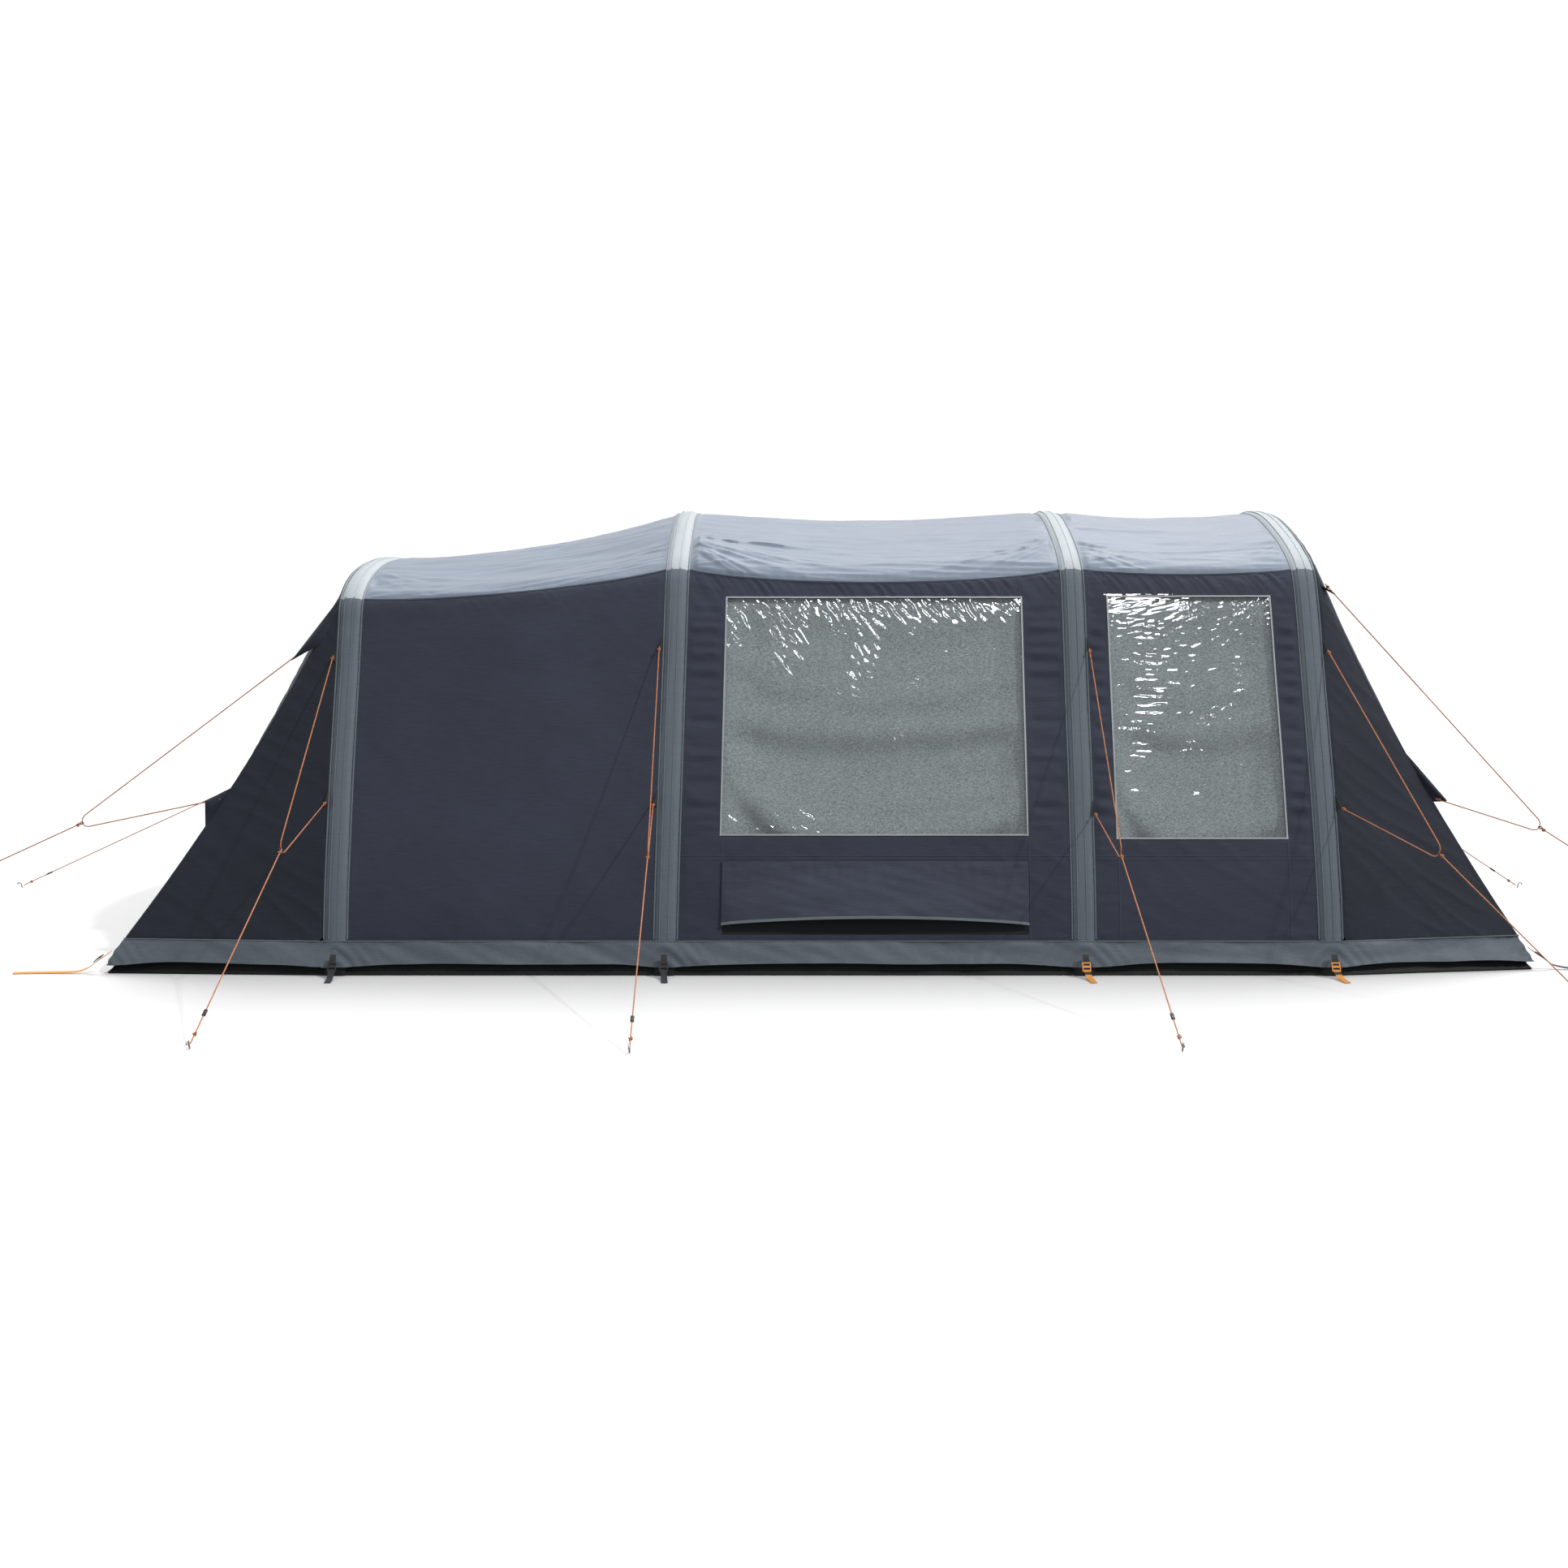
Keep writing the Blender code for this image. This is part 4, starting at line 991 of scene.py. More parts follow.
def piping(k):
    """Corded piping in the seams between a sleeve and its panels, and the tapes on the sleeve's face."""
    for side, name in ((-1, "rear"), (1, "front")):
        parts = [tube("part", beam_edge(k, side, v, CLOTH_DEPTH - 0.001), PIPING_RADIUS, [material], 8)
                 for v, material in arch_runs(PIPING_PALE)]
        place(join(f"piping_{k + 1}_{name}", parts), "sleeve")
    parts = [ribbon("part", beam_point(k, v, offset) + beam_frame(k, v)[1] * 0.0008, [1.0, 0, 0], 0.005,
                    0.003, [material])
             for offset in SLEEVE_TAPES for v, material in arch_runs(SLEEVE_PALE)]
    place(join(f"sleeve_seams_{k + 1}", parts), "sleeve")


# ---------------------------------------------------------------- flysheet of the bays
def on_bay(k, u, v, rise):
    """Points at a height over the plain surface of bay k."""
    return bay_surface(k, u, v) + surface_normal(bay_surface, k, u, v) * rise[..., None]


def bay_width(k, v):
    z = arch_point(BEAM_ARCH[k + 1], v)[1]
    return BEAM_X[k + 1] - BEAM_X[k] + (BEAM_LEAN[k + 1] - BEAM_LEAN[k]) * z - 2 * PANEL_EDGE


BAY_BOXES = {(1, False): (WINDOW_NEAR_LARGE, VENT), (2, False): (WINDOW_NEAR_SMALL,),
             (1, True): (WINDOW_FAR_LARGE,), (2, True): (SIDE_DOOR,)}
WINDOWS = {(1, False): WINDOW_NEAR_LARGE, (2, False): WINDOW_NEAR_SMALL, (1, True): WINDOW_FAR_LARGE}
BAND_SEAMS = (0.497, 0.511)                  # heights of the level seams under the windows
ARCH_STRETCH = 1.04                          # length of a wall over its height, about
# For each bay, rear to front: angles of the roof's ridges (degrees from the tent's length), and fold heights.
ROOF_RIDGES = ((-6, 8), (3, -5), (2, -3))
ROOF_PULL = (0.005, 0.016, 0.009)
WALL_RIDGE = (0.0008, 0.0020, 0.0020)
WALL_PUCKER = (0.0012, 0.0036, 0.0036)
WALL_GATHER = (0.0016, 0.0090, 0.0090)


def cloth_height(k, u, v):
    """How far the cloth of bay k stands out of its plain surface: folds, creases and gathers."""
    x = bay_surface(k, u, v)[..., 0]
    near_arc = arc(over_of(v))
    width = bay_width(k, v)
    rear_gap, front_gap = u * width, (1 - u) * width
    edge = np.minimum(rear_gap, front_gap)
    seam_gap = near_arc - arc(seam_v(k, u))           # above the seam is positive
    held = smoothstep(edge / 0.03) * smoothstep(np.abs(seam_gap) / 0.02)
    roof = roof_height(k, x, arc(v), edge, np.maximum(seam_gap, 0))
    wall = wall_height(k, x, near_arc, v > CROWN, edge, np.maximum(-seam_gap, 0))
    return held * np.where(seam_gap > 0, roof, wall)


def roof_height(k, x, s, edge, seam_gap):
    """Slow waves, thin ridges, gathers at the seams, and creases fanned out from the panel's corners."""
    seed = 100 + 20 * k
    h = 0.014 * waves(x, s, 4, 1.1, 0.30, seed) + 0.006 * waves(x, s, -8, 0.6, 0.11, seed + 1)
    h = h + 0.0030 * crests(x, s, ROOF_RIDGES[k][0], 0.60, 0.085, seed + 2, 3.0)
    h = h + 0.0034 * crests(x, s, ROOF_RIDGES[k][1], 0.45, 0.048, seed + 3, 3.0) * smoothstep(edge / 0.1)
    h = h + 0.0040 * pucker(s, edge, 0.035, 0.12, seed + 4)
    h = h + 0.0036 * pucker(x, seam_gap, 0.030, 0.05, seed + 5)
    rear, front = BEAM_X[k] - 0.10, BEAM_X[k + 1] + 0.10
    fans = (((rear, arc(6.4)), 1.0, (-2, -44), 14, 1.15, 0.012),
            ((front, arc(6.4)), 0.7, (184, 222), 11, 0.9, 0.012),
            ((rear, arc(SEAM) - 0.02), 0.6, (3, 40), 7, 0.8, 0.013))
    for mirrored in (False, True):
        line = arc(FAR_FOOT) - s if mirrored else s
        for i, (corner, share, angles, count, length, width) in enumerate(fans):
            draw = seed + 6 + 2 * i + mirrored
            h = h + ROOF_PULL[k] * share * fan(x, line, corner, angles, count, length, width, draw)
    return h


def wall_height(k, x, near_arc, far, edge, seam_gap):
    """Slow waves, gathers under the roof seam and along the sleeves, and puckers drawn by the window."""
    seed = 200 + 20 * k
    shift = np.where(far, 31.7, 0.0)
    a = x + shift
    h = 0.008 * waves(a, near_arc, 28, 0.9, 0.35, seed)
    h = h + WALL_RIDGE[k] * crests(a, near_arc, -32, 0.5, 0.12, seed + 1, 4.5)
    h = h + WALL_PUCKER[k] * pucker(near_arc + shift, edge, 0.028, 0.08, seed + 2)
    h = h + WALL_GATHER[k] * pucker(a + near_arc * 0.6, seam_gap, 0.022, 0.12, seed + 3)
    window_box = WINDOWS.get((k, False))
    if window_box:
        low_s, high_s = arc(height_to_v(window_box[2])), arc(height_to_v(window_box[3]))
        beside = np.maximum(np.maximum(window_box[0] - x, x - window_box[1]), 0.0)
        level = smoothstep((near_arc - low_s + 0.03) / 0.05) * smoothstep((high_s - near_arc + 0.03) / 0.05)
        h = h * (1 - 0.9 * level * (1 - smoothstep(beside / 0.05)))
        drawn = pucker(near_arc + shift, beside, 0.040, 0.20, seed + 4)
        h = h + 0.0135 * level * drawn * smoothstep(beside / 0.06)
        under = np.maximum(low_s - near_arc, 0.0)
        h = h + 0.0015 * pucker(a, under, 0.05, 0.05, seed + 5) * (beside < 0.02)
    return h


def cloth_point(k, u, v, proud=0.0):
    """Point of the sewn cloth of bay k, folds included, raised by proud."""
    return on_bay(k, u, v, cloth_height(k, u, v) - CLOTH_DEPTH + proud)


def bay_columns(k, extra=()):
    under = 0.013 / bay_width(k, 2.0)                 # the cloth runs in under the sleeves
    return stations(-under, 1 + under, COARSE, bay_width(k, 2.0), extra)


def wall_panel(k, far):
    """Wall of a bay with its openings; its upper edge follows the roof seam."""
    openings = BAY_BOXES.get((k, far), ())
    boxes = [patch(k, box) for box in openings]
    low = height_to_v(PANEL_BOTTOM)
    width, height = float(bay_width(k, 2.0)), float(arc(SEAM) - arc(low))
    columns = bay_columns(k, tuple(sorted({u for us, _ in boxes for u in us})))
    rows = stations(low, SEAM, COARSE, height, tuple(sorted({v for _, vs in boxes for v in vs})))
    cells = open_cells(columns, rows, boxes)
    u, v = np.meshgrid(columns, rows, indexing="ij")
    fixed = height_to_v(1.66) if boxes else 3.5       # the rows above this one bend with the seam
    span = (seam_v(k, np.clip(u, 0, 1)) - fixed) / (SEAM - fixed)
    v = np.where(v > fixed, fixed + (v - fixed) * span, v)
    if far:
        u, v, cells = u[:, ::-1], FAR_FOOT - v[:, ::-1], cells[:, ::-1]
    name = f"{side_of(far)}_{BAYS[k]}"
    piece = sheet(f"wall_cloth_{name}", cloth_point(k, u, v), CLOTH, [NAVY], cells=cells)
    place(piece, "wall_cloth", f"wall_{name}")
    holes = sum((b[1] - b[0]) * (b[3] - b[2]) * ARCH_STRETCH for b in openings)


def roof_panel(k):
    """Roof of a bay, from seam to seam over the crown."""
    columns = bay_columns(k)
    rows = np.linspace(0, 1, round((arc(FAR_FOOT - SEAM) - arc(SEAM)) / COARSE))
    u, t = np.meshgrid(columns, rows, indexing="ij")
    low = seam_v(k, np.clip(u, 0, 1))
    v = mix(low, FAR_FOOT - low, t)
    piece = sheet(f"roof_cloth_{BAYS[k]}", cloth_point(k, u, v), CLOTH, [ROOF])
    place(piece, "roof_cloth", f"roof_panel_{BAYS[k]}")
    size = (round(float(bay_width(k, 6.0)), 3), round(float(arc(FAR_FOOT - SEAM) - arc(SEAM)), 3))


def cloth_ribbon(name, k, u, v, width, material, across_u=False, proud=0.0006, thickness=0.0016):
    """Tape sewn on the cloth of bay k along a line of u and v."""
    u, v = np.broadcast_arrays(np.asarray(u, float), np.asarray(v, float))
    e = 2e-3
    if across_u:
        across = bay_surface(k, u + e, v) - bay_surface(k, u - e, v)
    else:
        across = bay_surface(k, u, v + e) - bay_surface(k, u, v - e)
    return ribbon(name, cloth_point(k, u, v, proud), unit(across), width, thickness, [material])


def seams(k):
    """Hem tapes along the roof seams, and the stitched lines of the walls."""
    u = np.linspace(0.0, 1.0, round(bay_width(k, 2.0) / 0.015))
    for far in (False, True):
        parts = [cloth_ribbon("part", k, u, on_side(seam_v(k, u), far), 0.009, NAVY_LIGHT, proud=0.001)]
        if k > 0:
            parts += [cloth_ribbon("part", k, u, height_to_v(z, far), 0.0045, NAVY_LIGHT) for z in BAND_SEAMS]
        box = WINDOWS.get((k, far))
        for x in box[:2] if box else ():
            below, above = x_to_u(k, x, 0.4), x_to_u(k, x, 1.7)
            v_below = np.linspace(height_to_v(0.155), height_to_v(box[2] - 0.008), 30)
            v_above = np.linspace(height_to_v(box[3] + 0.008), float(seam_v(k, above)), 12)
            for line, v, width in ((below, v_below, 0.0055), (above, v_above, 0.0045)):
                parts.append(cloth_ribbon("part", k, line, on_side(v, far), width, NAVY_LIGHT, across_u=True))
        place(join(f"seam_tapes_{side_of(far)}_{BAYS[k]}", parts), "wall_cloth")


# ---------------------------------------------------------------- windows, curtains, vent
FILM_THICKNESS = 0.0005
MESH_THICKNESS = 0.0006
FILM_MARGIN = 0.012                          # film welded behind the wall's edge
BEHIND_WALL = CLOTH_DEPTH + 0.003
WELD_WIDTH = 0.007
CURTAIN_HEM = 0.035                          # how far a curtain reaches past its window
CURTAIN_GAP, CURTAIN_SLACK = 0.030, 0.036    # behind the wall at its edge, and further back in its middle
# Swags of a curtain: height over the sill in half heights of the window, sag, depth, reach.
SWAGS = ((0.95, 0.12, 0.030, 0.055), (0.42, 0.70, 0.028, 0.050), (1.5, 0.35, 0.012, 0.05))


def patch_grid(k, box, far, margin, spacing):
    us, vs = patch(k, box, far, margin)
    columns = np.linspace(*us, round((box[1] - box[0]) / spacing))
    rows = np.linspace(*vs, round((box[3] - box[2]) / spacing))
    return np.meshgrid(columns, rows, indexing="ij")


def film_height(k, u, v, box):
    """Crinkles of the clear film: few and broad on the long window, many and level on the short one."""
    x, s = bay_surface(k, u, v)[..., 0], arc(over_of(v))
    edge = np.minimum(np.minimum(x - box[0], box[1] - x),
                      np.minimum(s - arc(height_to_v(box[2])), arc(height_to_v(box[3])) - s))
    seed = 300 + 20 * k
    h = 0.0030 * waves(x, s, 20, 0.5, 0.25, seed)
    patchy = smoothstep((waves(x, s, 80, 0.45, 0.16, seed + 1) + 0.05) / 0.35)
    if k == 1:
        upper = smoothstep((s - arc(2.6)) / 0.35) * smoothstep((0.6 - x) / 0.9)
        top = smoothstep((s - arc(height_to_v(1.50))) / 0.10)
        low = smoothstep((arc(1.90) - s) / 0.15) * smoothstep((0.5 - x) / 0.5)
        fine = 0.0078 * waves(x, s, -58, 0.07, 0.020, seed + 2) * np.maximum(upper * patchy, 0.6 * top)
        fine = fine + 0.0010 * waves(x, s, 86, 0.035, 0.030, seed + 3) * patchy
        fine = fine + 0.0044 * waves(x, s, -35, 0.12, 0.020, seed + 4) * low
    else:
        left = 0.35 + 0.65 * smoothstep((1.95 - x) / 0.5)
        fine = 0.0033 * waves(x, s, -6, 0.16, 0.020, seed + 2) * (0.2 + 0.8 * patchy) * left
        fine = fine + 0.0010 * waves(x, s, 14, 0.05, 0.014, seed + 3)
    return (h + fine) * smoothstep((edge + 0.004) / 0.03)


def window_name(k, far):
    return f"{side_of(far)}_{'large' if k == 1 else 'small'}"


def window(key):
    """Clear film of a window, and the weld round its edge."""
    k, far = key
    box, name = WINDOWS[key], window_name(k, far)
    u, v = patch_grid(k, box, far, -FILM_MARGIN, 0.005)
    points = on_bay(k, u, v, film_height(k, u, v, box) - BEHIND_WALL)
    film = sheet(f"film_{name}", points, FILM_THICKNESS, [FILM])
    place(film, "window", f"window_{name}")
    f"wall_cloth_{side_of(far)}_{BAYS[k]}"

    us, vs = patch(k, box, far)
    du, dv = 0.004 / float(bay_width(k, 2.0)), 0.004 / 0.48
    upright = np.linspace(vs[0] - dv, vs[1] + dv, 80)
    level = np.linspace(us[0] - du, us[1] + du, 90)
    borders = [cloth_ribbon("part", k, u, upright, WELD_WIDTH, WELD, across_u=True, proud=0.0014) for u in us]
    borders += [cloth_ribbon("part", k, level, v, WELD_WIDTH, WELD, proud=0.0014) for v in vs]
    place(join(f"window_border_{name}", borders), "window")


def curtain(key):
    """Curtain behind a window: held at its upper and side edges, in swags between them."""
    k, far = key
    box, name = WINDOWS[key], window_name(k, far)
    hung = (box[0] - CURTAIN_HEM, box[1] + CURTAIN_HEM, box[2] - CURTAIN_HEM, box[3] + CURTAIN_HEM)
    u, v = patch_grid(k, hung, far, 0.0, 0.010)
    x, s = bay_surface(k, u, v)[..., 0], arc(over_of(v))
    middle = (box[0] + box[1]) / 2
    half_width, half_height = (box[1] - box[0]) / 2, (box[3] - box[2]) / 2
    bow = 1 - ((x - middle) / half_width * 0.9 - 0.08) ** 2
    folds = 0.007 * waves(x, s, 4, 0.5, 0.10, 340 + k) + 0.003 * waves(x, s, 86, 0.8, 0.06, 350 + k)
    for high, sag, depth, reach in SWAGS:
        line = arc(height_to_v(box[2])) + half_height * high - sag * half_height * bow
        step = (s - line + 0.03 * waves(x, s, 0, 0.3, 0.6, 360 + k)) / reach
        folds = folds + depth * np.tanh(step) * np.exp(-(step / 4.0) ** 2)
    loose = smoothstep((half_width + CURTAIN_HEM - np.abs(x - middle)) / 0.18)
    loose = loose * smoothstep((arc(height_to_v(hung[3])) - s) / 0.25)
    rise = folds * loose - CURTAIN_GAP - CURTAIN_SLACK * loose
    piece = sheet(f"drape_{name}", on_bay(k, u, v, rise), CLOTH, [CURTAIN])
    place(piece, "curtain", f"curtain_{name}", body=f"curtain_{name}")
    f"wall_cloth_{side_of(far)}_{BAYS[k]}"


def vent():
    """Insect mesh of the vent, and its flap: sewn at the top and the sides, propped out in the middle."""
    u, v = patch_grid(1, VENT, False, -0.010, 0.012)
    points = on_bay(1, u, v, np.full_like(u, -BEHIND_WALL))
    panel = place(sheet("insect_mesh", points, MESH_THICKNESS, [MESH]), "mesh", "vent_mesh")

    us, vs = patch(1, VENT_FLAP)
    u, t = np.meshgrid(np.linspace(*us, 180), np.linspace(0, 1, 40), indexing="ij")
    across = (u - us[0]) / (us[1] - us[0])
    beside = np.minimum(across, 1 - across)
    belly = np.sin(np.pi * across) ** 0.7
    v = mix(vs[0] + 0.07 * belly - 0.03, vs[1], t)
    x, s = bay_surface(1, u, v)[..., 0], arc(v)
    folds = 0.006 * waves(x, s, 6, 0.6, 0.10, 380) + 0.0028 * waves(x, s, -16, 0.20, 0.035, 381)
    folds = folds + 0.0035 * pucker(x, (1 - t) * 0.26, 0.034, 0.07, 382)
    folds = folds + 0.0030 * pucker(s, beside * 1.33, 0.030, 0.10, 383)
    loose = smoothstep((1 - t) / 0.12) * smoothstep(beside / 0.03)
    points = on_bay(1, u, v, 0.0005 + folds * loose + 0.040 * belly * (1 - t) ** 1.3)
    flap = sheet("vent_cover", points, BAND_CLOTH, [NAVY_LIGHT])
    place(flap, "wall_cloth", "vent_flap", body="vent_flap")
    hem = ribbon("vent_cover_hem", points[:, 0] + np.array([0, -0.0015, 0.006]), [0, 0.2, 1.0], 0.012, 0.0035,
                 [PIPING_GREY])
    place(hem, "wall_cloth", body="vent_flap")


# ---------------------------------------------------------------- sloping ends
END_LOW = 0.44                               # arch parameter where an end's cloth starts
ZIP_WIDTH, ZIP_TAPE = 0.028, 0.0018          # of the zip's tape: width and thickness
ZIP_TEETH = 0.0028                           # radius
ZIP_BESIDE = 0.05                            # arch parameter from the door's edge to its zip
# Gussets of the end guys: two roots (u, v, height over the end), and the tip on the cord.
GUSSETS = {
    "rear_upper": ((0.0, 5.1, -0.004), (0.03, 4.1, -0.004), (-2.395, 1.158, 1.354)),
    "rear_lower": ((0.56, SEAM, -0.006), (0.68, SEAM, -0.006), (-2.738, 1.352, 0.736)),
    "front_upper": ((-0.004, 4.5, -0.004), (0.05, SEAM, -0.006), (2.335, 1.04, 1.653)),
    "front_lower": ((0.50, SEAM, -0.006), (0.64, SEAM, -0.006), (2.785, 1.272, 0.730)),
}


def end_normal(front, u, v):
    return surface_normal(end_surface, front, u, v) * sign_of(front)


def end_height(front, u, v):
    """Folds of an end: diagonal waves low down, short gathers at the skirt and the beam, drawn corners."""
    x, y, z = (end_surface(front, u, v)[..., i] for i in range(3))
    seed = 420 if front else 400
    ends = end_surface(front, np.ones_like(u), v) - end_surface(front, np.zeros_like(u), v)
    size = np.linalg.norm(ends, axis=-1)
    low_gap, top_gap = (1 - u) * size, u * size
    h = 0.007 * waves(y, z, 35, 0.8, 0.3, seed)
    h = h + 0.0025 * crests(y + x, z, -38, 0.45, 0.10, seed + 1, 4.0)
    h = h + 0.0022 * pucker(x + y, low_gap, 0.026, 0.06, seed + 2)
    h = h + 0.0022 * pucker(y * 1.1 + z, top_gap, 0.028, 0.07, seed + 3)
    if front:                                              # the zip holds the cloth flat
        h = h * (1 - 0.9 * np.exp(-((v - FRONT_DOOR_V[0] + ZIP_BESIDE) / 0.14) ** 2))
    corner = 1 - smoothstep(np.abs(over_of(v) - SEAM) / 0.12)
    held = smoothstep(top_gap / 0.02) * smoothstep(low_gap / 0.015)
    return (h * (1 - 0.8 * corner) + 0.004 * corner) * held


def end_point(front, u, v, proud=0.0):
    rise = end_height(front, u, v) + proud
    return end_surface(front, u, v) + end_normal(front, u, v) * rise[..., None]


def end_panel(front):
    """Sloping end, sewn to the last beam; the front one has the main door's opening."""
    across = float(arc(FAR_FOOT - END_LOW) - arc(END_LOW))
    columns = stations(END_LOW, FAR_FOOT - END_LOW, COARSE * 1.3, across, FRONT_DOOR_V if front else ())
    rows = stations(0.0, 1.0, COARSE * 1.1, 1.9, FRONT_DOOR_U if front else ())
    u, v = np.meshgrid(rows, columns, indexing="ij")
    cells = np.ones((len(rows), len(columns) - 1), bool)
    if front:
        cells[1:] = open_cells(rows, columns, [(FRONT_DOOR_U, FRONT_DOOR_V)])
    name, beam = ("front", 3) if front else ("rear", 0)
    sewn = beam_point(beam, columns, sign_of(front) * 0.045)
    sewn = sewn - beam_frame(beam, columns)[1] * (CLOTH_DEPTH + 0.002)
    points = np.concatenate([sewn[None], end_point(front, u, v)])
    piece = sheet(f"end_cloth_{name}", points, CLOTH, [END_NAVY], flip=not front, cells=cells)
    place(piece, "end_cloth", f"{name}_end_panel")


def front_door():
    """Main door: its cloth, and its zip round three edges, all but the hinge edge."""
    us = (FRONT_DOOR_U[0] + 0.003, FRONT_DOOR_U[1] - 0.003)
    vs = (FRONT_DOOR_V[0] + 0.015, FRONT_DOOR_V[1] - 0.015)
    u, v = np.meshgrid(np.linspace(*us, 150), np.linspace(*vs, 120), indexing="ij")
    piece = sheet("front_door_cloth", end_point(True, u, v), CLOTH, [END_NAVY])
    place(piece, "end_cloth", "front_door", body=None)
    middle = np.full(2, sum(us) / 2)
    hinge, inside = end_surface(True, middle, np.array([vs[1], vs[1] - 0.25]))
    tuple(hinge)
    tuple(inside)
    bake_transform(piece)
    low = FRONT_DOOR_V[0] - ZIP_BESIDE
    edges = [(np.full(70, low), np.linspace(*FRONT_DOOR_U, 70)),
             (np.linspace(low, FRONT_DOOR_V[1], 50), np.full(50, FRONT_DOOR_U[0] - 0.008)),
             (np.linspace(low, FRONT_DOOR_V[1], 60), np.full(60, FRONT_DOOR_U[1] + 0.008))]
    parts = []
    for v, u in edges:
        line, out = end_point(True, u, v, 0.002), end_normal(True, u, v)
        across = np.cross(out, unit(np.gradient(line, axis=0)))
        parts.append(ribbon("tape", line, across, ZIP_WIDTH, ZIP_TAPE, [STRAP_BLACK]))
        parts.append(tube("teeth", line + out * ZIP_TAPE, ZIP_TEETH, [BLACK_PLASTIC], 8))
    place(join("front_door_zip", parts), "zip")


def side_door():
    """Door in the far wall of the front bay, and the zip along three of its edges."""
    x0, x1, z0, z1 = SIDE_DOOR
    gap = 0.003
    u, v = patch_grid(2, (x0 + gap, x1 - gap, z0 + gap, z1 - gap), True, 0.0, 0.010)
    piece = sheet("side_door_cloth", cloth_point(2, u, v), CLOTH, [NAVY])
    place(piece, "wall_cloth", "side_door", body="side_door")
    us, vs = patch(2, (x0 - 0.012, x1, z0 - 0.012, z1 + 0.012), True)
    parts = []
    for u, v, across_u in ((us[0], np.linspace(*vs, 70), True), (np.linspace(*us, 40), vs[0], False),
                           (np.linspace(*us, 40), vs[1], False)):
        parts.append(cloth_ribbon("tape", 2, u, v, 0.026, STRAP_BLACK, across_u, proud=0.001))
        parts.append(cloth_ribbon("teeth", 2, u, v, 0.006, BLACK_PLASTIC, across_u, proud=0.002,
                                  thickness=0.003))
    place(join("side_door_zip", parts), "zip")


def gusset(name, root, tip, out):
    """Doubled cloth fin that carries an end guy: its root edge sewn to the tent, its tip on the cord."""
    root = [Vector(p) for p in root]
    tip = Vector(tip)
    rows = []
    for i in range(15):
        t = i / 14
        a, b = (p.lerp(tip, t) for p in root)
        bulge = Vector(out) * (0.02 * math.sin(math.pi * t))
        rows.append([a.lerp(b, w) + bulge * math.sin(math.pi * w) for w in np.linspace(0, 1, 9)])
    points = np.array(rows, float)
    points[-1] = np.array(tip) + (points[-2] - np.array(tip)) * 0.12
    return place(sheet(name, points, PATCH_CLOTH, [END_NAVY]), "end_cloth")


def gussets():
    for far in (False, True):
        side = sign_of(far)
        for where, (*roots, (x, y, z)) in GUSSETS.items():
            root = [end_point(where.startswith("front"), np.array(u), np.array(on_side(v, far)), height)
                    for u, v, height in roots]
            gusset(f"gusset_{where}_{side_of(far)}", root, (x, side * y, z), (0, side, 0))


# ---------------------------------------------------------------- skirt and groundsheet
SKIRT_ROWS = 15
FOOT_STRAP_WIDTH, CORNER_STRAP_WIDTH = 0.027, 0.022
BUCKLE_BOW = 0.0025
# Section of the tray floor, from the ground outside, over its edge and upright fin, to the floor inside: how
# far out of the tent's plan, and height.
TRAY_PROFILE = [(-0.016, 0.0008), (-0.012, 0.0060), (-0.020, 0.0240), (-0.022, 0.1240), (-0.024, 0.1240),
                (-0.028, 0.0250), (-0.060, 0.0260), (-0.100, 0.060), (-0.120, 0.085), (-0.124, 0.084),
                (-0.106, 0.056), (-0.150, 0.0050), (-0.30, 0.0040)]
# Foot strap of a beam: x from the beam, distance from the middle plane, height.
FOOT_PATH = [(0, 1.632, 0.095), (0, 1.645, 0.080), (0, 1.656, 0.055), (0, 1.668, 0.036),
             (0.003, 1.700, 0.018), (0.008, 1.750, 0.006), (0.012, 1.800, 0.003)]
# Buckle of length, width and thickness.
FOOT_BUCKLE = (0.044, 0.038, 0.004)
CORNER_BUCKLE = (0.04, 0.034, 0.004)


def outline(height):
    """Plan of the tent at a height: its eight corners from the near rear foot, anticlockwise."""
    y = float(arch_point(TALL_ARCH, height_to_v(height))[0])
    rear_x = BEAM_X[0] + BEAM_LEAN[0] * height - PANEL_EDGE
    front_x = BEAM_X[3] + PANEL_EDGE
    front, rear = ([float(c) for c in end_line(f, np.array(SEAM), height)[1][:2]] for f in (True, False))
    return [(rear_x, y), (front_x, y), (front[0], front[1]), (front[0], -front[1]), (front_x, -y),
            (rear_x, -y), (rear[0], -rear[1]), (rear[0], rear[1])]


def around_outline(height, distance, count):
    """Points round the plan at a height, moved out by a distance, and the outward direction of each side."""
    corners = [Vector(p) for p in outline(height)]
    size = len(corners)
    moved = []
    for i in range(size):
        before, here, after = (corners[j % size] for j in (i - 1, i, i + 1))
        a, b = (here - before).normalized(), (after - here).normalized()
        normal_a, normal_b = Vector((a.y, -a.x)), Vector((b.y, -b.x))
        bisector = (normal_a + normal_b).normalized()
        moved.append(here + bisector * (distance / bisector.dot(normal_a)))
    points, outs = [], []
    for i in range(size):
        a, b = moved[i], moved[(i + 1) % size]
        points += [a.lerp(b, j / count[i]) for j in range(count[i])]
        outs += [Vector(((b - a).y, -(b - a).x)).normalized()] * count[i]
    return np.array(points), np.array(outs)


def at_height(points, z):
    return np.concatenate([points, np.full((len(points), 1), z)], 1)


def side_counts(spacing):
    corners = [Vector(p) for p in outline(0.0)]
    return [max(4, round((corners[(i + 1) % 8] - corners[i]).length / spacing)) for i in range(8)]


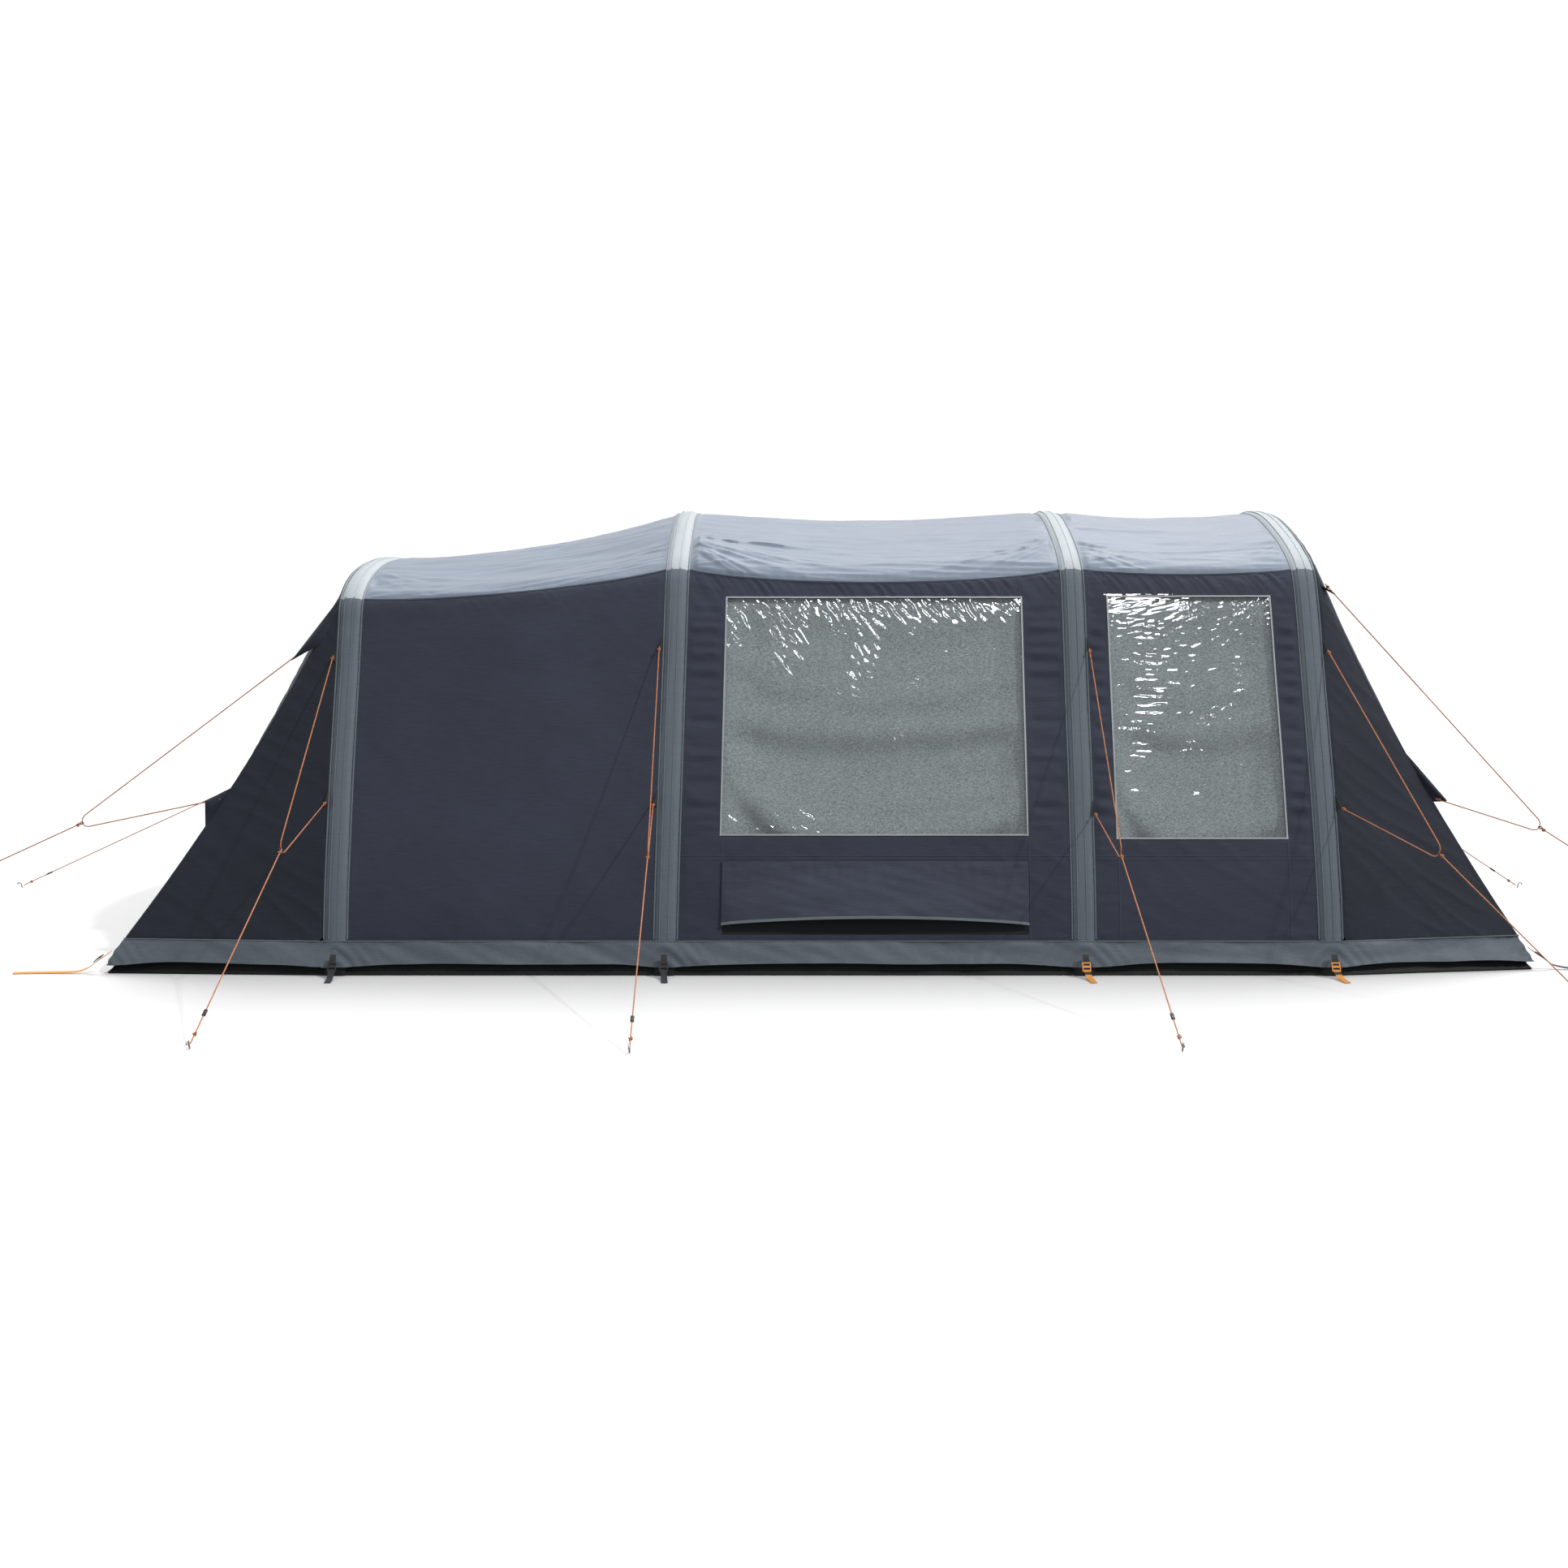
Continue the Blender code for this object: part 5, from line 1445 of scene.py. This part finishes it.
def skirt_folds(closed, t, run):
    """Folds of the band and how far its hem lifts, which both die out where the band is tied down."""
    x, y = closed[..., 0], closed[..., 1]
    total = run[0, -1]
    phase = run / total * 2 * np.pi           # the folds meet where the band closes on itself
    ring_x, ring_y = np.cos(phase) * total / (2 * np.pi), np.sin(phase) * total / (2 * np.pi)
    anchors = [(a, side * 1.64) for a in BEAM_X for side in (-1, 1)]
    anchors += [(sign * CORNER_X, side * c) for sign, c in ((-1, REAR_CORNER_Y), (1, FRONT_CORNER_Y))
                for side in (-1, 1)]
    tied = np.min([np.hypot(x - a, y - b) for a, b in anchors], axis=0)
    pull = np.exp(-(tied / 0.16) ** 2)
    radial = np.cos(tied * 120 + 9 * t) * pull * (1 - 0.6 * t)
    folds = 0.009 * lattice_noise(ring_x / 0.30, ring_y / 0.30 + t * 0.9, 501)
    folds = folds + 0.0050 * lattice_noise(ring_x / 0.11, ring_y / 0.11 + t * 1.8, 502)
    folds = folds + 0.0018 * lattice_noise(ring_x / 0.03, ring_y / 0.03, 503) * t ** 3 + 0.0040 * radial
    folds = folds * smoothstep((1.02 - t) / 0.15) + 0.004 * (1 - t)
    raised = (1 - pull) * (0.016 + 0.008 * lattice_noise(ring_x / 0.5, ring_y / 0.5, 504))
    return folds, raised * (1 - t) ** 2


def mud_skirt():
    """Band round the tent's foot, with its rolled hem and the welt at its upper edge."""
    counts = side_counts(0.012)
    grid, outs = [], []
    for i in range(SKIRT_ROWS):
        height = mix(SKIRT_BOTTOM + 0.010, SKIRT_TOP, i / (SKIRT_ROWS - 1))
        points, out = around_outline(height * 0.999, 0.003, counts)
        grid.append(at_height(points, height))
        outs.append(out)
    points, outs = np.array(grid), np.array(outs)
    outs = unit(outs + np.roll(outs, 1, 1))
    closed, outs = (np.concatenate([a, a[:, :1]], 1) for a in (points, outs))
    t = np.linspace(0, 1, SKIRT_ROWS)[:, None]            # 0 at the hem
    steps = np.linalg.norm(np.diff(closed[0, :, :2], axis=0), axis=1)
    run = np.broadcast_to(np.concatenate([[0.0], np.cumsum(steps)])[None], closed.shape[:2])
    folds, raised = skirt_folds(closed, t, run)
    closed[..., :2] += outs * folds[..., None]
    closed[..., 2] += raised
    piece = sheet("skirt_cloth", closed, BAND_CLOTH, [SKIRT_GREY], flip=True)
    place(piece, "skirt", "mud_skirt")
    hem = place(tube("skirt_hem", closed[0, :-1], 0.0022, [SKIRT_GREY], 6), "skirt")
    top = closed[-1, :-1] + np.concatenate([outs[-1, :-1], np.zeros((len(outs[-1]) - 1, 1))], 1) * 0.001
    welt = place(tube("skirt_welt", top, 0.0028, [PIPING_GREY], 6), "skirt")


def groundsheet():
    """Tray floor: flat in the middle, its rim turned up inside the walls, its edge out to the skirt."""
    counts = side_counts(0.05)
    rings = [at_height(around_outline(height + 0.001, inset, counts)[0], height)
             for inset, height in TRAY_PROFILE]
    rings[0][:, 2] = 0.0
    piece = loft("tray_floor", np.array(rings), [TRAY_BLACK])
    place(piece, "groundsheet", "groundsheet")


def ladder_lock(name, centre, along, across, out, size, material):
    """Buckle: a curved plate with two slots and a bar between them."""
    length, width, thickness = size
    rows = [[centre + along * (x * length) + across * (y * width) + out * (BUCKLE_BOW * math.cos(math.pi * x))
             for y in (-0.5, -0.36, 0.36, 0.5)] for x in (-0.5, -0.34, -0.12, 0.12, 0.34, 0.5)]
    cells = np.ones((5, 3), bool)
    cells[1, 1] = cells[3, 1] = False
    piece = sheet(name, np.array(rows, float), thickness, [material], cells=cells)
    bevel = piece.modifiers.new("round", "BEVEL")
    bevel.width, bevel.segments = 0.0008, 2
    return piece


def foot_strap(k, far):
    """Pegging strap of a beam's foot: a loop from under the skirt, its buckle, and its tail on the ground."""
    side = sign_of(far)
    strap, plate = (STRAP_ORANGE, ORANGE_PLASTIC) if k >= 2 else (STRAP_BLACK, BLACK_PLASTIC)
    name = f"{k + 1}_{side_of(far)}"
    path = [Vector((BEAM_X[k] + x, side * y, z)) for x, y, z in FOOT_PATH]
    parts = [ribbon("part", smooth_line(points, count), [1.0, 0, 0], FOOT_STRAP_WIDTH, BAND_CLOTH, [material])
             for points, count, material in ((path[:5], 14, STRAP_BLACK), (path[3:], 12, strap))]
    place(join(f"foot_strap_{name}", parts), "sleeve")
    ahead = Vector((1, 0, 0))
    along = (path[3] - path[2]).normalized()
    out = ahead.cross(along).normalized()
    out = out if out.y * side > 0 else -out
    centre = path[2].lerp(path[3], 0.5) + out * 0.004
    place(ladder_lock(f"foot_buckle_{name}", centre, along, ahead, out, FOOT_BUCKLE, plate), "runner")


def smooth_line(points, count):
    """Even points on a smooth curve through a few."""
    control = [2 * points[0] - points[1], *points, 2 * points[-1] - points[-2]]
    result = []
    for i in range(count):
        t = i / (count - 1) * (len(points) - 1)
        j = min(int(t), len(points) - 2)
        result.append(catmull(*control[j:j + 4], t - j))
    return result


def corner_strap(front, far):
    """Corner pegging point: webbing from the skirt's corner out along the ground to its loop."""
    side, sign = sign_of(far), sign_of(front)
    corner_y = FRONT_CORNER_Y if front else REAR_CORNER_Y
    start = Vector((sign * (CORNER_X - 0.03), side * (corner_y - 0.02), 0.095))
    strap, reach = (STRAP_BLACK, 0.20) if front else (STRAP_ORANGE, 0.42)
    flat = Vector((sign, side * 0.05, 0)).normalized()
    path = [start] + [start + flat * run - UP * drop
                      for run, drop in ((0.05, 0.035), (0.11, 0.075), (0.18, 0.088), (reach, 0.091))]
    name = f"{'front' if front else 'rear'}_{side_of(far)}"
    across = Vector((0, 1, 0.2)).normalized()
    swing = [p + Vector((0, 0.006 * math.sin(i * 0.7), 0)) for i, p in enumerate(smooth_line(path, 24))]
    place(ribbon(f"corner_strap_{name}", swing, across, CORNER_STRAP_WIDTH, BAND_CLOTH, [strap]), "sleeve")
    along = (path[1] - path[0]).normalized()
    out = across.cross(along).normalized()
    out = out if out.z > 0 else -out
    place(ladder_lock(f"corner_buckle_{name}", path[1] + out * 0.004, along, across, out, CORNER_BUCKLE,
                      BLACK_PLASTIC), "runner")


# ---------------------------------------------------------------- bedroom
BEDROOM_FLOOR = 0.010
DOOR_GRID = 1.3                              # how much closer the front's middle columns stand


def bedroom_ring(x, v):
    """Section of the bedroom's tube at x; the foot end is low."""
    u = np.full_like(v, np.clip(x_to_u(0, max(x, -2.05), 1.0), 0.02, 0.98))
    points = on_bay(0, u, v, np.full_like(v, -BEDROOM_INSET))
    slope = np.clip((BEDROOM_X[1] - x) / (BEDROOM_X[1] - BEDROOM_X[2]), 0, 1)
    points[..., 0] = x
    points[..., 1] *= mix(1.0, 0.9, slope)
    points[..., 2] = np.maximum(points[..., 2] * mix(1.0, 0.20, slope), BEDROOM_FLOOR)
    return points


def bedroom_front(edge):
    """Front wall of the bedroom under its edge curve, with the door's opening."""
    z0, z1 = BEDROOM_DOOR_Z
    half, share = BEDROOM_DOOR_HALF, BEDROOM_DOOR_HALF / DOOR_GRID
    crown = float(edge[:, 2].max())
    ys = stations(-1.0, 1.0, 0.03, 2.0, (-share, share))
    heights = stations(0.0, 1.0, 0.03, 1.8, (z0 / crown, z1 / crown))
    near_half = edge[:len(edge) // 2 + 1]
    grid = []
    for h in heights:
        z = h * crown
        reach = float(np.interp(z, near_half[:, 2], -near_half[:, 1]))
        limit = max(reach, half + 0.02) if z < z1 + 0.001 else max(reach, 0.02)
        row = []
        for y in ys:
            outside = abs(y) > share + 1e-9
            wide = mix(half, limit, (abs(y) - share) / (1 - share)) if outside else DOOR_GRID * abs(y)
            row.append((BEDROOM_X[0], math.copysign(min(wide, limit), y), max(z, BEDROOM_FLOOR)))
        grid.append(row)
    cells = open_cells(heights, ys, [((z0 / crown, z1 / crown), (-share, share))])
    return sheet("part", np.array(grid), CLOTH, [BEDROOM], flip=True, cells=cells)


def bedroom():
    """Bedroom hung in the rear bay: a tube with a floor and a front wall, and its door."""
    v = np.linspace(0.1, 17.9, 150)
    xs = np.concatenate([np.linspace(BEDROOM_X[2], BEDROOM_X[1], 30)[:-1],
                         np.linspace(BEDROOM_X[1], BEDROOM_X[0], 50)])
    rings = np.array([bedroom_ring(x, v) for x in xs])
    x, s = np.broadcast_arrays(rings[..., 0], arc(v)[None])
    sag = 0.012 * waves(x, s, 10, 0.6, 0.3, 601) - 0.01
    held = smoothstep((x - BEDROOM_X[2]) / 0.05) * smoothstep((BEDROOM_X[0] - x) / 0.05)
    roof = sheet("part", rings + grid_normals(rings) * (sag * held)[..., None] * 0.6, CLOTH, [BEDROOM])
    floor = sheet("part", np.array([[(x, y, BEDROOM_FLOOR) for y in np.linspace(r[0, 1], r[-1, 1], 12)]
                                    for x, r in zip(xs[::6], rings[::6])]), CLOTH, [TRAY_BLACK])
    cloth = join("bedroom_cloth", [roof, floor, bedroom_front(rings[-1])])
    piece = place(cloth, "bedroom_cloth", "inner_tent")

    half, (z0, z1) = BEDROOM_DOOR_HALF, BEDROOM_DOOR_Z
    u, w = np.meshgrid(np.linspace(-half + 0.003, half - 0.003, 60), np.linspace(z0 + 0.003, z1 - 0.003, 90),
                       indexing="ij")
    ripple = 0.0015 * waves(u, w, 80, 0.5, 0.06, 611)
    points = np.stack([np.full_like(u, BEDROOM_X[0] - 0.001) + ripple, u, w], -1)
    door = sheet("bedroom_door_cloth", points, CLOTH, [BEDROOM])
    place(door, "bedroom_cloth", "inner_tent_door", body="inner_tent_door")
    line = [(BEDROOM_X[0] + 0.002, half + 0.012, z) for z in np.linspace(z0, z1, 20)]
    place(tube("bedroom_door_zip", line, ZIP_TEETH, [BLACK_PLASTIC], 8), "zip")


# ---------------------------------------------------------------- stage and light
def area_light(name, location, target, size, power):
    data = bpy.data.lights.new(name, "AREA")
    data.shape = "RECTANGLE"
    data.size, data.size_y = size
    data.energy = power
    obj = add(name, data)
    obj.location = location
    obj.rotation_euler = (Vector(target) - Vector(location)).to_track_quat("-Z", "Y").to_euler()


def sun(name, towards, spread, strength):
    data = bpy.data.lights.new(name, "SUN")
    data.energy, data.angle = strength, math.radians(spread)
    add(name, data).rotation_euler = Vector(towards).to_track_quat("Z", "Y").to_euler()


def world_light():
    """White behind the tent for the camera; for all else bright behind and above, dim in front and below."""
    world = bpy.data.worlds.new("studio")
    world.use_nodes = True
    nodes, links = world.node_tree.nodes, world.node_tree.links
    background = nodes["Background"]
    coord = nodes.new("ShaderNodeTexCoord")
    parts = nodes.new("ShaderNodeSeparateXYZ")
    links.new(coord.outputs["Generated"], parts.inputs[0])
    shares = []
    for axis, limits in (("Y", (-0.5, 0.6, 0.43, 1.0)), ("Z", (-0.15, 0.15, 0.6, 1.0))):
        share = nodes.new("ShaderNodeMapRange")
        for key, value in zip(("From Min", "From Max", "To Min", "To Max"), limits):
            share.inputs[key].default_value = value
        links.new(parts.outputs[axis], share.inputs["Value"])
        shares.append(share.outputs["Result"])
    product = nodes.new("ShaderNodeMath")
    product.operation = "MULTIPLY"
    links.new(shares[0], product.inputs[0])
    links.new(shares[1], product.inputs[1])
    path = nodes.new("ShaderNodeLightPath")
    choice = nodes.new("ShaderNodeMix")
    choice.inputs["B"].default_value = 1.02
    links.new(path.outputs["Is Camera Ray"], choice.inputs["Factor"])
    links.new(product.outputs[0], choice.inputs["A"])
    links.new(choice.outputs["Result"], background.inputs["Strength"])
    background.inputs["Color"].default_value = (1.0, 1.0, 1.0, 1.0)
    bpy.context.scene.world = world


FLOOR_SIZE, FLOOR_DEPTH = 120.0, 0.02
FLOOR_GAP = 0.0005                           # below the tent's underside
GLINT_X = (1.2, 2.7)


def stage():
    """Pale floor, an even sky, a soft sun from behind, a harder one from the side, and the film's glints."""
    bm = bmesh.new()
    bmesh.ops.create_cube(bm, size=1.0)
    for vert in bm.verts:
        vert.co = Vector((vert.co.x * FLOOR_SIZE, vert.co.y * FLOOR_SIZE,
                          (vert.co.z - 0.5) * FLOOR_DEPTH - FLOOR_GAP))
    floor = closed_body("floor", bm, [floor_material("pale_floor")])
    floor.visible_diffuse = floor.visible_glossy = False      # the pale floor casts no light on the tent
    world_light()
    sun("main_sun", (0.22, 0.55, 0.80), 28, 1.55)
    sun("side_sun", (0.62, -0.42, 0.66), 2, 1.15)
    for i, x in enumerate(GLINT_X):
        area_light(f"film_glint_{i + 1}", (x, -5.7, 7.2), (0.5, -1.3, 1.1), (0.8, 0.8), 52)
    bpy.context.scene.view_settings.view_transform = "Standard"


def build():
    camera()
    for key in GUYS:
        for far in (False, True):
            guy_line(key, far)
    for k in range(4):
        air_beam(k)
        sleeve(k)
        piping(k)
    for k in range(3):
        for far in (False, True):
            wall_panel(k, far)
        roof_panel(k)
        seams(k)
    for key in WINDOWS:
        window(key)
        curtain(key)
    vent()
    end_panel(False)
    end_panel(True)
    front_door()
    side_door()
    gussets()
    mud_skirt()
    groundsheet()
    for far in (False, True):
        for k in range(4):
            foot_strap(k, far)
        corner_strap(False, far)
        corner_strap(True, far)
    bedroom()
    for node in ("front_door_zip_pull", "side_door_zip_pull", "inner_door_zip_pull"):
        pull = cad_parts[node]
        pull.data.materials.clear()
        pull.data.materials.append(BLACK_PLASTIC)
    stage()


build()
